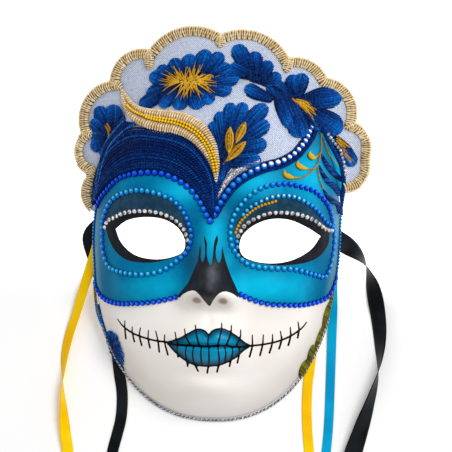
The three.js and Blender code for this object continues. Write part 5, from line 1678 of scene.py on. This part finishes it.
dark_olive = yarn("olive thread", paint(44, 44, 10), paint(104, 100, 14), paint(170, 158, 40))
JAW_CORDS = [([(-75.2, -38), (-74.8, -44), (-74, -51.7), (-71.9, -60.8)], dark_olive),
             ([(-74.2, -50), (-72.9, -58), (-70.3, -64.4), (-67.3, -71.5)], bright_navy),
             ([(-72.3, -53), (-70, -61), (-68, -66.2), (-66.5, -70.7)], blue_thread)]
for number, (marks, finish) in enumerate(JAW_CORDS, 1):
    plies = twisted(laid(curve_through(marks, 0.8), 0.7), radius=0.48, pitch=3.0)
    stands_for = ["left_jaw_cord"] if finish is bright_navy else []
    threads(f"jaw_cord_{number}", plies, 1.05, finish, "blue_thread", stands_for)

# %% Olive leaves at the right
OLIVE_LEAVES = [((74.2, -37.5), (72.7, -48.5), 0.9), ((72.6, -46), (68.7, -61.5), 1.4),
                ((69.4, -60), (63.9, -76.5), 1.2), ((63.2, -73.6), (60, -85.4), 1.7),
                ((60, -83), (55, -94), 2.3)]
beds, ribs = [], []
for start, end, half in OLIVE_LEAVES:
    line = evenly(np.array([start, end], float), count=12)
    shape = half * np.sin(np.pi * np.linspace(0.06, 0.94, 12)) ** 0.7
    beds.append(swept(mound(line, shape, height=shape * 0.45, lift=0.35, sides=7)))
    ribs += ribs_across(line, shape, lift=0.5, height=shape * 0.5, pitch=0.6, slant=0.7)
threads("olive_stitches", ribs, 0.66, dark_olive, "olive_thread", ["olive_trim"])
keep(add_piece("olive_padding", *merged(beds), dark_olive), "olive_thread")
OLIVE_LINE = [(74.6, -36), (73.9, -44.8), (73, -50.3), (71.6, -57), (69.1, -63.7), (66.1, -71), (62.8, -80.9),
              (60, -88.4), (56.3, -94)]
plies = twisted(laid(curve_through(OLIVE_LINE, 0.8), 0.5), radius=0.25, pitch=2.0)
threads("olive_cord", plies, 0.5, gold_thread, "olive_thread")

# %% Silver cord and sparkling stitches
silver_thread = Finish("silver thread", Roughness=0.3, Metallic=0.7)
# Painted glints of the metal thread, in random specks.
painted_glint = silver_thread.noise(1400, 1).step(0.4, 0.6)
silver_thread.feed("Base Color", silver_thread.mix(painted_glint, paint(120, 124, 140), paint(238, 239, 242)))
black_thread = yarn("black thread", paint(14, 14, 16), paint(44, 44, 48), paint(110, 110, 116))
rim_line = face_outline(1.25, 260, math.pi + 0.5, 2 * math.pi - 0.42)
chin_line = np.column_stack([rim_line, seat(*rim_line.T) + 1.3])
plies = twisted(chin_line, radius=0.42, pitch=2.6, plies=3)
threads("chin_cord_silver", plies[:2], 0.85, silver_thread, "silver_cord", ["chin_cord"])
threads("chin_cord_black", plies[2:], 0.8, black_thread, "silver_cord")

SPARKLE = [(3, 15.6), (3.7, 18.4), (4.9, 21), (6.5, 24.1), (8.7, 27.5), (11.3, 30.7), (14.3, 33.1),
           (18.3, 35), (22.8, 37.5), (27.3, 39.4)]
ribs = ribs_across(curve_through(SPARKLE, 0.8), half_width=[0.5, 1.8, 2.2, 1.7], lift=1.3,
                   height=[0.3, 0.7, 0.8, 0.6], pitch=0.8, slant=0.6)
threads("sparkle_stitches", ribs, 0.66, silver_thread, "silver_cloth")

# %% [markdown]
# The mask lies in a photographer's soft light. One round lamp gives its shadows their side, and a white
# surrounding fills them. The table glows a little, as painted light, so that it is as pale as in the photo.

# %% Light, floor and the end
floor_paint = Finish("light table", Roughness=0.8, Emission_Strength=1.0)
nearly_white = paint(250, 250, 250)
floor_paint.feed("Base Color", floor_paint.mix(floor_paint.noise(20, 2), paint(246, 246, 246), nearly_white))
# The table's painted glow is nearly white under the upper part of the mask and weak below its eyes, so the
# ribbons throw soft shadows there.
painted_glow_above = floor_paint.axes()[1].step(-0.05, -0.02)
floor_paint.feed("Emission Color", floor_paint.mix(painted_glow_above, paint(88, 88, 88), nearly_white))
TABLE_HALF = 900
corners = [(TABLE_HALF * x, TABLE_HALF * y, 0) for x, y in ((-1, -1), (1, -1), (1, 1), (-1, 1))]
floor = add_piece("table", corners, [(0, 1, 2, 3)], floor_paint)

world = bpy.data.worlds.new("studio")
world.use_nodes = True
sky = world.node_tree.nodes["Background"].inputs
sky["Color"].default_value = (1, 1, 1, 1)
sky["Strength"].default_value = 0.55
bpy.context.scene.world = world


def soft_light(name, at, size, watts):
    """A round lamp that faces the middle of the table. Places and sizes are in metres."""
    lamp = bpy.data.lights.new(name, "AREA")
    lamp.shape, lamp.size, lamp.energy = "DISK", size, watts
    made = bpy.data.objects.new(name, lamp)
    made.location = at
    made.rotation_euler = (-Vector(at)).to_track_quat("-Z", "Y").to_euler()
    bpy.context.collection.objects.link(made)


soft_light("key", at=(0.8, 0.55, 1.6), size=1.0, watts=20)
bpy.context.scene.view_settings.view_transform = "Standard"
